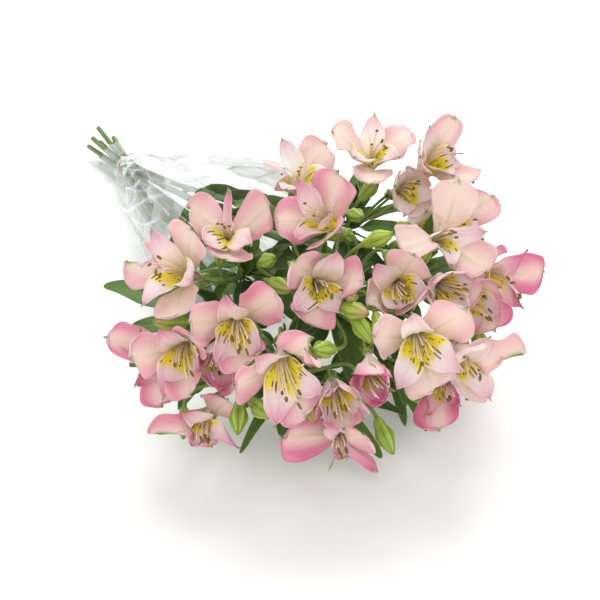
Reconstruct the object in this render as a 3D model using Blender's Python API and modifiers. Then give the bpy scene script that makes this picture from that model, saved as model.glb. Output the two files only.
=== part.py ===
"""A bunch of cut alstroemeria that lies on its side in a clear sleeve.

Blender 4.5, metres, +Z up. The flower head is at -Y and the cut ends are at +Y. The origin is at the
bottom centre of the whole bunch, on the surface that it lies on.
"""

import math

import bmesh
import bpy
import numpy as np
from mathutils import Vector

SEED = 7
MM = 0.001

# The bundle: where the stems are tied, and how they run from the cut ends to the umbels
STEM_RADIUS_CUT = 3.0 * MM
STEM_RADIUS_TOP = 2.3 * MM
STEM_GAP = 0.1 * MM
MIDDLE_DROP = 0.5 * MM
TIE = np.array([8, 305, 21]) * MM
STEM_FAN = 1.3
SPLAY = 5.5
RING_TURN_DEG = -12.0
STEM_POINTS = 7
KNOB_RADIUS = 3.8 * MM
ROOT_DEPTH = 2.0 * MM

# Each stem: name, umbel centre (x, y, z) and the y of its cut end, in mm. The last is in the middle
STEMS = (
    ("right", (66, -162, 68), 405),
    ("top_right", (50, -122, 98), 388),
    ("top", (2, -122, 100), 412),
    ("left_top", (-44, -138, 88), 398),
    ("left", (-62, -150, 54), 409),
    ("low_left", (-36, -190, 34), 396),
    ("low_right", (30, -194, 38), 402),
    ("middle", (-2, -182, 78), 411),
)

# Blooms: length and half width of the tepals, how far they flare, and the radius that they curl to
OUTER = {"length": 50 * MM, "half_width": 15.5 * MM, "claw": 1.3 * MM, "flare": 80, "claw_flare": 16,
         "widest": 0.72, "blunt": 3.2, "fall": 0.45, "curl": 38 * MM}
GUIDE = {"length": 49 * MM, "half_width": 8.0 * MM, "claw": 1.1 * MM, "flare": 56, "claw_flare": 4,
         "widest": 0.62, "blunt": 1.7, "fall": 1.0, "curl": 14 * MM}
LOWER = {"length": 49 * MM, "half_width": 9.0 * MM, "claw": 1.1 * MM, "flare": 60, "claw_flare": 4,
         "widest": 0.62, "blunt": 1.7, "fall": 1.0, "curl": 18 * MM}
TEPALS = (
    (OUTER, 0, 0), (OUTER, 120, -4), (OUTER, -120, 4),
    (GUIDE, 60, -14), (GUIDE, -60, 14), (LOWER, 180, 0),
)
OUTER_ROWS = np.array([0, 0.48, 0.86, 1.0])
OUTER_COLUMNS = np.array([[-1.0, 0.0, 1.0]])
INNER_ROWS = np.array([0, 0.45, 0.76, 1.0])
INNER_COLUMNS = np.array([[-1.0, 1.0]])
FIT_ROWS = np.array([0.4, 0.7, 0.88, 1.0])
CLAW_CURL = 8 * MM
RIPPLE = 1.3 * MM
TEPAL_THICKNESS = 0.7 * MM
THROAT_RADIUS = 3.2 * MM
THROAT_HEIGHT = 2.8 * MM
BLOOM_DEPTH = 36 * MM
BLOOM_TOP = np.array([0, -0.5, -0.85])
STAMENS = ((2, 1, 46),)
STAMEN_RADIUS = 0.6 * MM
ANTHER_RADIUS = 1.3 * MM

# Green parts
PEDICEL_RADIUS = 1.1 * MM
OVARY_RADIUS = 4.0 * MM
OVARY_LENGTH = 10 * MM
BUD_RADIUS = 5.2 * MM
BUD_LENGTH = 22 * MM
BUD_TIP_RADIUS = 0.6 * MM
BUD_FOOT_RADIUS = 2.9 * MM
LEAF_THICKNESS = 0.8 * MM
LEAF_ROWS = np.array([0, 0.25, 0.5, 0.78, 1.0])
LEAF_COLUMNS = np.array([[-1.0, 1.0]])
LEAF_UP = np.array([0, -0.5, 0.8])
LEAF_FOLD = 0.28

# The room that each growth claims along its line from the umbel, and its stiff core, in mm
STALK_ROOM = (2, 2.5, 3, 3, 4)
STALK_CORE = (1.1, 1.1, 1.1, 1.1, 1.6)
BLOOM_ROOM = (6, 6, 14, 22, 27)
BLOOM_CORE = (4, 4, 8, 10, 10)
BLOOM_MARKS = (5, 10, 22, 34)
BUD_ROOM = (5, 7, 5)
BUD_CORE = (4, 5.2, 3)
BUD_MARKS = (0.35, 0.65, 1.0)
LEAF_ROOM = (0.4, 0.7, 1.0, 1.0, 0.8, 0.4)
LEAF_CORE = 2.0
STEM_ROOM = 3.5

# Room between neighbours
SEAT_GAP = 0.3 * MM
CLEAR = 0.9 * MM
SOFT = 7.0 * MM
FLOOR_CLEAR = 0.6 * MM
CORE_GAP = 1.0 * MM
NEAR_UMBEL = 22 * MM
NEIGHBOUR_REACH = 45 * MM
MOVE_ROUNDS = 40
LEAN_IN = (1.0, 0.86, 0.72, 0.58, 0.44, 0.32)
FIT_OVERLAP = 4.5 * MM
LEAST_KEEP = 0.3

# The sleeve: a cone of film, gathered at the tie and open at the flower head
SLEEVE_FILM = 0.6 * MM
SLEEVE_TAIL_Y = 336 * MM
SLEEVE_TAIL_RADIUS = 20.5 * MM
SLEEVE_COLLAR_RADIUS = 12.9 * MM
SLEEVE_MOUTH_Y = -80 * MM
SLEEVE_MOUTH_RADIUS = 86 * MM
SLEEVE_MOUTH_Z = 62 * MM
SLEEVE_BELL = 0.85
SLEEVE_PLEAT = 1.1 * MM
SLEEVE_CREASE = 3.2 * MM
SLEEVE_CRUMPLE = 2.2 * MM
SLEEVE_AROUND = 24
SLEEVE_ALONG = 6
BAND_RADIUS = 10.35 * MM
BAND_THICK = 0.8 * MM
BAND_WIDE = 4 * MM

# The whole bunch is moved by this, so that the origin is at its bottom centre
MOVE = np.array([-0.5, -43.2, 0]) * MM

# Each bloom: mouth centre (x, y, z) in mm, the way it faces (bearing from the front towards +X, and
# rise), its roll from the natural one, all in degrees, how far it is open, from 0 to 1, and its share
# of the room between it and its neighbours
BLOOMS = (
    ((-116, -193, 134), (-62, 32), 10, 0.95, 1.4),
    ((-75, -192, 152), (-34, 52), -15, 0.95, 1.0),
    ((-3, -148, 163), (-28, 60), 10, 1.0, 1.4),
    ((-33, -224, 164), (-69, 37), 20, 0.6, 1.0),
    ((48, -161, 176), (-14, 60), -20, 0.95, 1.4),
    ((65, -183, 150), (-11, 28), 15, 0.95, 0.8),
    ((84, -188, 171), (4, 42), 30, 0.7, 1.0),
    ((-41, -253, 131), (-16, 22), -30, 0.9, 0.85),
    ((-95, -248, 112), (-25, 10), 0, 0.9, 1.2),
    ((-123, -228, 92), (-30, 12), 10, 0.85, 1.1),
    ((-130, -198, 77), (-41, 6), -10, 0.85, 1.0),
    ((-84, -285, 98), (-24, -3), 20, 0.9, 1.3),
    ((-104, -231, 86), (-31, 7), 40, 0.7, 0.75),
    ((-114, -236, 42), (-35, 4), 10, 0.85, 1.1),
    ((-58, -295, 80), (-25, 11), 0, 0.85, 0.8),
    ((-54, -295, 52), (-29, 14), 5, 0.9, 1.1),
    ((-9, -306, 108), (-28, 10), 0, 1.0, 1.45),
    ((26, -307, 84), (-15, 8), -30, 0.9, 1.15),
    ((-1, -269, 125), (-32, 16), 30, 0.9, 0.8),
    ((35, -270, 119), (-21, 20), 60, 0.8, 0.75),
    ((47, -249, 145), (-18, 35), 30, 0.95, 1.35),
    ((86, -209, 131), (0, 42), -10, 0.85, 0.8),
    ((92, -257, 105), (6, 8), -20, 0.9, 1.15),
    ((61, -267, 102), (-6, 16), 20, 0.8, 0.75),
    ((-40, -307, 100), (-25, 5), 60, 0.28, 0.6),
    ((17, -296, 71), (-22, 8), -10, 0.8, 0.8),
    ((132, -188, 66), (75, 5), -60, 0.85, 1.1),
    ((118, -138, 102), (95, 25), -30, 0.8, 1.0),
    ((80, -236, 46), (35, -5), 20, 0.8, 1.0),
)

# Each bud: tip (x, y, z) in mm, and the way it points, as for the blooms
BUDS = (
    ((53, -158, 151), (38, 53)), ((11, -238, 147), (26, 32)), ((-24, -240, 134), (10, 3)),
    ((-54, -235, 125), (9, 10)), ((-62, -281, 110), (-60, 26)), ((-26, -275, 121), (15, 11)),
    ((-27, -280, 100), (6, -28)), ((-104, -266, 60), (-27, -19)), ((-24, -305, 44), (0, -31)),
    ((-63, -293, 75), (-5, -26)), ((-127, -200, 105), (-88, 19)), ((-82, -263, 62), (10, 2)),
    ((58, -282, 75), (-20, -11)), ((71, -249, 110), (-17, 4)), ((91, -178, 167), (3, 55)),
)

# Each leaf at an umbel: tip (x, y, z), half width and bow, in mm
LEAVES = (
    ((-133, -108, 88), 10.5, 12), ((-127, -143, 70), 10.0, 10), ((-132, -148, 45), 9.0, 10),
    ((-27, -92, 122), 9.5, 14), ((123, -170, 130), 10.0, 12), ((145, -183, 122), 8.0, 10),
    ((27, -268, 15), 8.5, 8), ((24, -251, 25), 8.0, 8), ((-11, -275, 12), 8.5, 8),
    ((-62, -229, 35), 8.0, 8), ((116, -220, 75), 7.0, 8), ((-114, -190, 30), 8.0, 8),
    ((10, -112, 138), 8.0, 10), ((140, -150, 56), 9.0, 10), ((76, -98, 130), 9.0, 12),
)

# Each leaf lower down, inside the sleeve: stem, y of its base and of its tip, and half width, in mm
LOW_LEAVES = ((0, 0, -72, 8), (1, 30, -66, 9), (2, -5, -70, 9), (3, 30, -56, 9), (4, 10, -70, 8))
LOW_LEAF_OUT = 12 * MM
LOW_LEAF_BOW = 4 * MM
FILM_ROOM = 7 * MM


def unit(vector):
    return np.asarray(vector, float) / np.linalg.norm(vector)


def smooth_step(low, high, x):
    t = np.clip((np.asarray(x, float) - low) / (high - low), 0, 1)
    return t * t * (3 - 2 * t)


def heading(bearing_deg, rise_deg):
    bearing = math.radians(bearing_deg)
    rise = math.radians(rise_deg)
    flat = math.cos(rise)
    return np.array([math.sin(bearing) * flat, -math.cos(bearing) * flat, math.sin(rise)])


def bezier(start, start_pull, end_pull, end, count):
    t = np.linspace(0, 1, count)[:, None]
    return ((1 - t) ** 3 * start + 3 * (1 - t) ** 2 * t * start_pull
            + 3 * (1 - t) * t ** 2 * end_pull + t ** 3 * end)


# The stems' paths

def tie_place(index):
    """Where a stem passes the tie, as (x, z): all but the last stand in a ring, and that lies inside it."""
    middle = TIE[[0, 2]]
    if index == len(STEMS) - 1:
        return middle - np.array([0, MIDDLE_DROP])
    ring = len(STEMS) - 1
    radius = (2 * STEM_RADIUS_CUT + STEM_GAP) / (2 * math.sin(math.pi / ring))
    angle = math.radians(RING_TURN_DEG) + 2 * math.pi * index / ring
    return middle + radius * np.array([math.cos(angle), math.sin(angle)])


def stem_line(index, y):
    """A stem's centre (x, z) at each y. It runs on past the umbel, as the middle of the stem's own room."""
    tie = tie_place(index)
    umbel = np.array(STEMS[index][1]) * MM
    t = (TIE[1] - np.asarray(y, float)) / (TIE[1] - umbel[1])
    fan = np.where(t > 1, 1 + STEM_FAN * (t - 1), np.clip(t, 0, 1) ** STEM_FAN)
    spread = 1 + SPLAY * np.clip(-t, 0, None)
    middle = TIE[[0, 2]]
    at_tie = middle + (tie - middle) * spread[..., None]
    return at_tie + (umbel[[0, 2]] - tie) * fan[..., None]


def stem_points(index, count):
    cut_y = STEMS[index][2] * MM
    umbel_y = STEMS[index][1][1] * MM
    y = np.concatenate([[cut_y], np.linspace(TIE[1], umbel_y, count - 1)])
    across = stem_line(index, y)
    return np.column_stack([across[:, 0], y, across[:, 1]])


# The sleeve's shape

def sleeve_size(y):
    """The sleeve's radius and its axis (x, z) at each y."""
    along = np.clip((TIE[1] - y) / (TIE[1] - SLEEVE_MOUTH_Y), 0, 1)
    beyond = np.clip((y - TIE[1]) / (SLEEVE_TAIL_Y - TIE[1]), 0, 1)
    radius = (SLEEVE_COLLAR_RADIUS + (SLEEVE_MOUTH_RADIUS - SLEEVE_COLLAR_RADIUS) * along ** SLEEVE_BELL
              + (SLEEVE_TAIL_RADIUS - SLEEVE_COLLAR_RADIUS) * beyond)
    x = TIE[0] * (1 - along)
    z = TIE[2] + (SLEEVE_MOUTH_Z - TIE[2]) * along
    return radius, x, z


def sleeve_points(along, around):
    """The sleeve's mid-surface: along runs from the tail to the mouth, and around once round it."""
    y = SLEEVE_TAIL_Y + (SLEEVE_MOUTH_Y - SLEEVE_TAIL_Y) * along
    radius, x, z = sleeve_size(y)
    turn = 2 * math.pi * around
    pleat = SLEEVE_PLEAT * np.cos(turn * SLEEVE_AROUND / 2) * (1 - smooth_step(0.1, 0.5, along))
    crease = SLEEVE_CREASE * np.sin(3 * turn + 9 * along) * smooth_step(0.15, 0.5, along)
    crumple = SLEEVE_CRUMPLE * np.sin(7 * turn - 14 * along) * smooth_step(0.2, 0.6, along)
    radius = radius + pleat + crease + crumple
    high = z + radius * np.cos(turn)
    return np.stack([x + radius * np.sin(turn), y, np.maximum(high, SLEEVE_FILM / 2)], axis=-1)


# Growths: what grows from the stems, and the room that each takes

class Growth:
    """A bloom, bud or leaf of an umbel, or the stem itself, with the line that it grows along."""

    def __init__(self, kind, tip, facing=None, room_share=1.0, bow=0.0, half_width=0.0, stem=None):
        self.kind = kind
        self.tip = np.array(tip, float) * MM
        if stem is None:
            gaps = [np.linalg.norm(np.array(row[1]) - tip) for row in STEMS]
            stem = int(np.argmin(gaps))
        self.stem = stem
        self.umbel = np.array(STEMS[stem][1]) * MM
        self.room_share = room_share
        self.bow = bow * MM
        self.half_width = half_width * MM
        self.faces = None if facing is None else heading(*facing)
        self.grow()

    def grow(self):
        """Works out the line, the room that it claims at each point and how thick its stiff core is."""
        if self.kind == "stem":
            self.line = stem_points(self.stem, STEM_POINTS)
            self.room = np.full(STEM_POINTS, STEM_ROOM * MM)
            self.core = np.full(STEM_POINTS, STEM_RADIUS_CUT)
            return
        self.facing = unit(self.tip - self.umbel) if self.faces is None else self.faces
        if self.kind == "leaf":
            self.line = leaf_line(self.umbel, self.tip, self.bow, LEAF_UP, len(LEAF_ROOM))
            self.room = self.half_width * np.array(LEAF_ROOM)
            self.core = np.full(len(LEAF_ROOM), LEAF_CORE * MM)
            return
        if self.kind == "bloom":
            length = BLOOM_DEPTH + SEAT_GAP + OVARY_LENGTH
            marks = np.append(np.array(BLOOM_MARKS) * MM, length)
            room, core = BLOOM_ROOM, BLOOM_CORE
        else:
            length = BUD_LENGTH
            marks = np.array(BUD_MARKS) * length
            room, core = BUD_ROOM, BUD_CORE
        foot = self.tip - self.facing * length
        stalk = stalk_line(self.umbel, foot, self.facing, len(STALK_ROOM))
        self.line = np.vstack([stalk, foot + marks[:, None] * self.facing])
        self.room = np.append(STALK_ROOM, np.array(room) * self.room_share) * MM
        self.core = np.array(STALK_CORE + core) * MM


def stalk_line(umbel, foot, direction, count):
    span = np.linalg.norm(foot - umbel)
    away = unit(0.75 * (foot - umbel) / span + 0.25 * np.array([0, -1.0, 0]))
    root = umbel + away * ROOT_DEPTH
    return bezier(root, umbel + away * span * 0.35, foot - direction * span * 0.35, foot, count)


def leaf_line(start, tip, bow, up, count):
    along = unit(tip - start)
    start = start + along * ROOT_DEPTH
    lift = unit(up - along * (up @ along)) * bow
    third = (tip - start) * 0.3
    return bezier(start, start + third + lift, tip - third + lift, tip, count)


def move_apart(growths):
    """Moves the tips of stalks and leaves whose stiff cores stand too close to each other."""
    movers = [growth for growth in growths if growth.kind != "stem"]
    ease = {"bloom": 0.3, "bud": 1.0, "leaf": 0.8}
    for _ in range(MOVE_ROUNDS):
        lines = [growth.line for growth in growths]
        spots = np.vstack(lines)
        cores = np.concatenate([growth.core for growth in growths])
        owner = np.concatenate([np.full(len(line), n) for n, line in enumerate(lines)])
        for number, growth in enumerate(growths):
            if growth.kind == "stem":
                continue
            away = np.linalg.norm(growth.line - growth.umbel, axis=1)
            far = away > NEAR_UMBEL
            offset = growth.line[far][:, None] - spots[None]
            distance = np.linalg.norm(offset, axis=-1) + 1e-9
            wanted = growth.core[far][:, None] + cores[None] + CORE_GAP
            short = np.where(owner[None] != number, wanted - distance, 0).clip(0)
            push = (offset / distance[..., None] * short[..., None]).reshape(-1, 3)
            strongest = np.abs(push).sum(1).argmax()
            growth.tip = growth.tip + push[strongest] * ease[growth.kind] * 0.5
            lift = (FLOOR_CLEAR + growth.core[far] - growth.line[far][:, 2]).max(initial=0)
            growth.tip[2] += lift
            growth.tip[1] = min(growth.tip[1], SLEEVE_MOUTH_Y - 8 * MM)
        for growth in movers:
            growth.grow()


class Crowd:
    """All the growths' lines together. It tells how far a point is from its neighbours' room."""

    def __init__(self, growths):
        self.starts = np.vstack([growth.line[:-1] for growth in growths])
        self.ends = np.vstack([growth.line[1:] for growth in growths])
        self.start_room = np.concatenate([growth.room[:-1] for growth in growths])
        self.end_room = np.concatenate([growth.room[1:] for growth in growths])
        self.owner = np.concatenate([np.full(len(growth.line) - 1, n) for n, growth in enumerate(growths)])

    def nearest(self, points, chosen):
        """For each point and chosen line piece: the distance, the room there and the nearest place."""
        start = self.starts[chosen]
        run = self.ends[chosen] - start
        t = ((points[:, None] - start) * run).sum(-1) / (run * run).sum(-1)
        t = np.clip(t, 0, 1)
        place = start + t[..., None] * run
        distance = np.linalg.norm(points[:, None] - place, axis=-1)
        room = self.start_room[chosen] + t * (self.end_room - self.start_room)[chosen]
        return distance, room, place

    def own_place(self, points, number):
        distance, room, place = self.nearest(points, self.owner == number)
        best = distance.argmin(1)
        rows = np.arange(len(points))
        return distance[rows, best], room[rows, best], place[rows, best]

    def clearance(self, points, own_distance, own_room, chosen):
        """How far points are inside their own room, before the wall to the nearest neighbour's."""
        distance, room, _ = self.nearest(points, chosen)
        inside = (own_room[:, None] * distance - room * own_distance[:, None]) / (own_room[:, None] + room)
        return inside.min(1)

    def neighbours(self, points, number):
        middle = points.mean(0)
        reach = np.linalg.norm(points - middle, axis=1).max() + NEIGHBOUR_REACH
        distance, _, _ = self.nearest(middle[None], np.ones(len(self.owner), bool))
        return (self.owner != number) & (distance[0] < reach)


def give_way(distance, clear, soft):
    """A distance to a wall, changed smoothly so that it's never under clear. Past soft it isn't changed."""
    span = soft - clear
    pressed = clear + span * np.exp(np.minimum(distance - soft, 0) / span)
    return np.where(distance > soft, distance, pressed)


def overlap(points, number, crowd):
    """How deep a tepal's points reach into what stands beside it, or into the surface."""
    flat = points.reshape(-1, 3)
    own_distance, own_room, _ = crowd.own_place(flat, number)
    inside = crowd.clearance(flat, own_distance, own_room, crowd.neighbours(flat, number))
    return -min(inside.min(), flat[:, 2].min(), (SLEEVE_MOUTH_Y - flat[:, 1]).min())


def bend_clear(points, number, growth, crowd, clear=CLEAR):
    """Bends a growth's points towards its own line, clear of its neighbours, the sleeve and the surface."""
    shape = points.shape
    flat = points.reshape(-1, 3).copy()
    share = smooth_step(8 * MM, 24 * MM, np.linalg.norm(flat - growth.umbel, axis=1))
    flat[:, 1] = SLEEVE_MOUTH_Y - give_way(SLEEVE_MOUTH_Y - flat[:, 1], clear, SOFT)
    flat[:, 2] = give_way(flat[:, 2], clear - CLEAR + FLOOR_CLEAR, SOFT)
    own_distance, own_room, place = crowd.own_place(flat, number)
    chosen = crowd.neighbours(flat, number)
    wanted = give_way(crowd.clearance(flat, own_distance, own_room, chosen), clear, SOFT)
    low = np.full(len(flat), LEAST_KEEP)
    high = np.ones(len(flat))
    for _ in range(12):
        half = (low + high) / 2
        moved = place + half[:, None] * (flat - place)
        fits = crowd.clearance(moved, own_distance * half, own_room, chosen) >= wanted
        low = np.where(fits, half, low)
        high = np.where(fits, high, half)
    keep = 1 - share * (1 - low)
    flat = place + keep[:, None] * (flat - place)
    return flat.reshape(shape)


# Blender pieces

def collection_named(name):
    collection = bpy.data.collections.new(name)
    bpy.context.scene.collection.children.link(collection)
    return collection


def add_mesh(name, bm, collection):
    mesh = bpy.data.meshes.new(name)
    bm.to_mesh(mesh)
    bm.free()
    piece = bpy.data.objects.new(name, mesh)
    collection.objects.link(piece)
    return piece


def baked(piece):
    """Applies a piece's modifiers, or a curve's bevel, and welds the mesh."""
    depsgraph = bpy.context.evaluated_depsgraph_get()
    mesh = bpy.data.meshes.new_from_object(piece.evaluated_get(depsgraph))
    bm = bmesh.new()
    bm.from_mesh(mesh)
    bmesh.ops.remove_doubles(bm, verts=bm.verts, dist=1e-6)
    bmesh.ops.triangulate(bm, faces=bm.faces)
    bmesh.ops.recalc_face_normals(bm, faces=bm.faces)
    bm.to_mesh(mesh)
    bm.free()
    return mesh


def tube(name, points, radii, collection, bevel_resolution=0):
    """A round piece along points, with a radius at each, and its ends capped."""
    curve = bpy.data.curves.new(name, "CURVE")
    curve.dimensions = "3D"
    curve.bevel_depth = 1.0
    curve.bevel_resolution = bevel_resolution
    curve.use_fill_caps = True
    spline = curve.splines.new("POLY")
    spline.points.add(len(points) - 1)
    for spot, point, radius in zip(spline.points, points, radii):
        spot.co = (*point, 1)
        spot.radius = radius
    rough = bpy.data.objects.new(name, curve)
    collection.objects.link(rough)
    mesh = baked(rough)
    bpy.data.objects.remove(rough)
    piece = bpy.data.objects.new(name, mesh)
    collection.objects.link(piece)
    return piece


def sheet_mesh(points, tip=None, wrap=False):
    """An open surface of triangles through a grid of points. It may run out to a tip or wrap round."""
    rows, columns = points.shape[:2]
    bm = bmesh.new()
    bmesh.ops.create_grid(bm, x_segments=columns - 1, y_segments=rows - 1, size=1)
    bm.verts.ensure_lookup_table()
    for vert, point in zip(bm.verts, points.reshape(-1, 3)):
        vert.co = point
    bmesh.ops.triangulate(bm, faces=bm.faces, quad_method="FIXED")
    if tip is not None:
        last_row = [vert for vert in bm.verts if vert.index >= (rows - 1) * columns]
        bmesh.ops.pointmerge(bm, verts=last_row, merge_co=Vector(tip))
    if wrap:
        bmesh.ops.remove_doubles(bm, verts=bm.verts, dist=1e-6)
    return bm


def thick_sheet(name, bm, thickness, collection):
    rough = add_mesh(name, bm, collection)
    solidify = rough.modifiers.new("thickness", "SOLIDIFY")
    solidify.thickness = thickness
    solidify.offset = 0
    mesh = baked(rough)
    bpy.data.objects.remove(rough)
    piece = bpy.data.objects.new(name, mesh)
    collection.objects.link(piece)
    return piece


def keep_largest(mesh):
    """Drops loose scraps and fills sealed hollows: only the body with the most faces stays."""
    bm = bmesh.new()
    bm.from_mesh(mesh)
    left = set(bm.verts)
    bodies = []
    while left:
        body = {left.pop()}
        edge_of_body = set(body)
        while edge_of_body:
            beside = {edge.other_vert(vert) for vert in edge_of_body for edge in vert.link_edges}
            edge_of_body = beside - body
            body |= edge_of_body
        left -= body
        bodies.append(body)
    largest = max(bodies, key=len)
    loose = [vert for vert in bm.verts if vert not in largest]
    bmesh.ops.delete(bm, geom=loose, context="VERTS")
    bm.to_mesh(mesh)
    bm.free()


def joined(name, pieces, collection, material):
    """One closed body from a stem's or a bloom's pieces, which cross each other."""
    first = pieces[0]
    rest = bpy.data.collections.new(name + " pieces")
    for piece in pieces[1:]:
        collection.objects.unlink(piece)
        rest.objects.link(piece)
    union = first.modifiers.new("union", "BOOLEAN")
    union.operation = "UNION"
    union.operand_type = "COLLECTION"
    union.collection = rest
    union.solver = "MANIFOLD"
    depsgraph = bpy.context.evaluated_depsgraph_get()
    mesh = bpy.data.meshes.new_from_object(first.evaluated_get(depsgraph))
    for piece in pieces:
        bpy.data.objects.remove(piece)
    bpy.data.collections.remove(rest)
    keep_largest(mesh)
    body = bpy.data.objects.new(name, mesh)
    body.data.name = name
    body.data.materials.clear()
    body.data.materials.append(material)
    collection.objects.link(body)
    return body


def plain_material(name, colour, roughness):
    material = bpy.data.materials.new(name)
    material.use_nodes = True
    shader = material.node_tree.nodes["Principled BSDF"]
    shader.inputs["Base Color"].default_value = (*colour, 1)
    shader.inputs["Roughness"].default_value = roughness
    shader.inputs["Metallic"].default_value = 0
    return material


# Blooms

def tepal_half_width(kind, s):
    grow = smooth_step(0.12, kind["widest"], s)
    past = np.clip((s - kind["widest"]) / (1 - kind["widest"]), 0, 1)
    fall = (1 - past ** kind["blunt"]) ** kind["fall"]
    return (kind["claw"] + (kind["half_width"] - kind["claw"]) * grow) * fall


def tepal_points(kind, turn_deg, sweep_deg, open_share, draw, s, v):
    """A tepal's mid-surface in its bloom's own frame: the bloom faces +Z, and its top is towards +X."""
    sweep = (sweep_deg + draw.uniform(-7, 7)) * smooth_step(0.1, 1, s)[:, None]
    turn = np.radians(turn_deg + sweep)
    length = kind["length"] * draw.uniform(0.93, 1.04)
    flare = kind["flare"] * open_share + draw.uniform(-7, 7)
    twist = math.radians(draw.uniform(-14, 14))
    phase = draw.uniform(0, 2 * math.pi)

    fine = np.linspace(0, 1, 65)
    lean = np.radians(kind["claw_flare"] + (flare - kind["claw_flare"]) * smooth_step(0.05, 1.0, fine))
    out = THROAT_RADIUS * 0.72 + length * np.concatenate([[0], np.cumsum(np.sin(lean[1:]))]) / 64
    rise = 1.0 * MM + length * np.concatenate([[0], np.cumsum(np.cos(lean[1:]))]) / 64
    out_s = np.interp(s, fine, out)[:, None]
    rise_s = np.interp(s, fine, rise)[:, None]
    lean_s = np.interp(s, fine, lean)[:, None]

    half_width = tepal_half_width(kind, s)[:, None]
    curl = (CLAW_CURL + (kind["curl"] - CLAW_CURL) * smooth_step(0.1, 0.7, s))[:, None]
    bend = half_width * v / curl
    sideways = curl * np.sin(bend)
    inwards = curl * (1 - np.cos(bend))
    wave = np.sin(2 * math.pi * 1.6 * s[:, None] + phase + 1.4 * np.sign(v))
    inwards = inwards + RIPPLE * smooth_step(0.35, 0.8, s)[:, None] * v ** 2 * wave
    roll = twist * s[:, None]
    across = sideways * np.cos(roll) - inwards * np.sin(roll)
    towards = sideways * np.sin(roll) + inwards * np.cos(roll)

    from_axis = out_s - np.cos(lean_s) * towards
    height = rise_s + np.sin(lean_s) * towards
    x = from_axis * np.cos(turn) - across * np.sin(turn)
    y = from_axis * np.sin(turn) + across * np.cos(turn)
    return np.stack([x, y, height], axis=-1)


def stamen_points(side, lift, length, count):
    """A stamen's path in its bloom's own frame. It dips to the lower side and turns up at its end."""
    start = np.array([0.6 * np.sign(side), 0.2 * side, 1.0]) * MM
    pull = np.array([-1, 0.5 * side, 0.35 * length]) * MM
    end_pull = np.array([-5 + lift, side, 0.75 * length]) * MM
    end = np.array([2 * lift, 1.5 * side, length]) * MM
    return bezier(start, pull, end_pull, end, count)


class BloomPlace:
    """Where a bloom sits: its base, the way it faces, and its own axes."""

    def __init__(self, growth, roll_deg):
        self.facing = growth.facing
        self.base = growth.tip - self.facing * BLOOM_DEPTH
        top = unit(BLOOM_TOP - self.facing * (BLOOM_TOP @ self.facing))
        side = np.cross(self.facing, top)
        roll = math.radians(roll_deg)
        self.top = math.cos(roll) * top + math.sin(roll) * side
        self.side = np.cross(self.facing, self.top)

    def to_bunch(self, points):
        return (self.base + points[..., :1] * self.top + points[..., 1:2] * self.side
                + points[..., 2:] * self.facing)


def fitted_open_share(kind, turn_deg, sweep_deg, open_share, seed, place, number, crowd):
    """How far a tepal opens: less than the bloom's own share where something stands in its way."""
    for lean_in in LEAN_IN:
        draw = np.random.default_rng(seed)
        local = tepal_points(kind, turn_deg, sweep_deg, open_share * lean_in, draw, FIT_ROWS, OUTER_COLUMNS)
        if overlap(place.to_bunch(local), number, crowd) < FIT_OVERLAP:
            break
    return open_share * lean_in


def throat(name, place, collection):
    """The six-sided middle that the tepals grow from, with a side to each."""
    bm = bmesh.new()
    bmesh.ops.create_cone(bm, segments=6, cap_ends=True, radius1=THROAT_RADIUS, radius2=THROAT_RADIUS,
                          depth=THROAT_HEIGHT)
    bm.verts.ensure_lookup_table()
    corner_turn = math.radians(30) - math.atan2(bm.verts[0].co.y, bm.verts[0].co.x)
    for vert in bm.verts:
        angle = math.atan2(vert.co.y, vert.co.x) + corner_turn
        flat = np.array([THROAT_RADIUS * math.cos(angle), THROAT_RADIUS * math.sin(angle),
                         vert.co.z + THROAT_HEIGHT / 2])
        vert.co = place.to_bunch(flat)
    bm.normal_update()
    return add_mesh(name, bm, collection)


def tepal_body(name, kind, points, collection):
    """A tepal's solid. An outer one has a blunt end with a point in its middle, an inner one a tip."""
    if kind is OUTER:
        points[-2, 1] = points[-1, 1]
        surface = sheet_mesh(points[:-1])
    else:
        surface = sheet_mesh(points, tip=points[-1].mean(0))
    return thick_sheet(name, surface, TEPAL_THICKNESS, collection)


def make_bloom(number, place, growth, crowd, open_share, collection, material):
    name = f"bloom_{number + 1:02d}"
    pieces = [throat(name, place, collection)]
    for tepal_number, (kind, turn_deg, sweep_deg) in enumerate(TEPALS):
        seed = [SEED, number, tepal_number]
        share = fitted_open_share(kind, turn_deg, sweep_deg, open_share, seed, place, number, crowd)
        rows, columns = (OUTER_ROWS, OUTER_COLUMNS) if kind is OUTER else (INNER_ROWS, INNER_COLUMNS)
        draw = np.random.default_rng(seed)
        local = tepal_points(kind, turn_deg, sweep_deg, share, draw, rows, columns)
        points = bend_clear(place.to_bunch(local), number, growth, crowd)
        pieces.append(tepal_body(name, kind, points, collection))
    for side, lift, length in STAMENS:
        path = place.to_bunch(stamen_points(side, lift, length, 2))
        path = bend_clear(path, number, growth, crowd, CLEAR + ANTHER_RADIUS)
        radii = [STAMEN_RADIUS, ANTHER_RADIUS]
        pieces.append(tube(name, path, radii, collection))
    return joined(name, pieces, collection, material)


# Stems with their pedicels, ovaries, buds and leaves

def bloom_stalk(name, growth, collection):
    seat = growth.tip - growth.facing * (BLOOM_DEPTH + SEAT_GAP)
    foot = seat - growth.facing * OVARY_LENGTH
    path = stalk_line(growth.umbel, foot, growth.facing, 3)
    ovary = [foot + growth.facing * OVARY_LENGTH * 0.55, seat]
    radii = [PEDICEL_RADIUS] * 3 + [OVARY_RADIUS, THROAT_RADIUS]
    return tube(name, np.vstack([path, ovary]), radii, collection)


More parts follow.
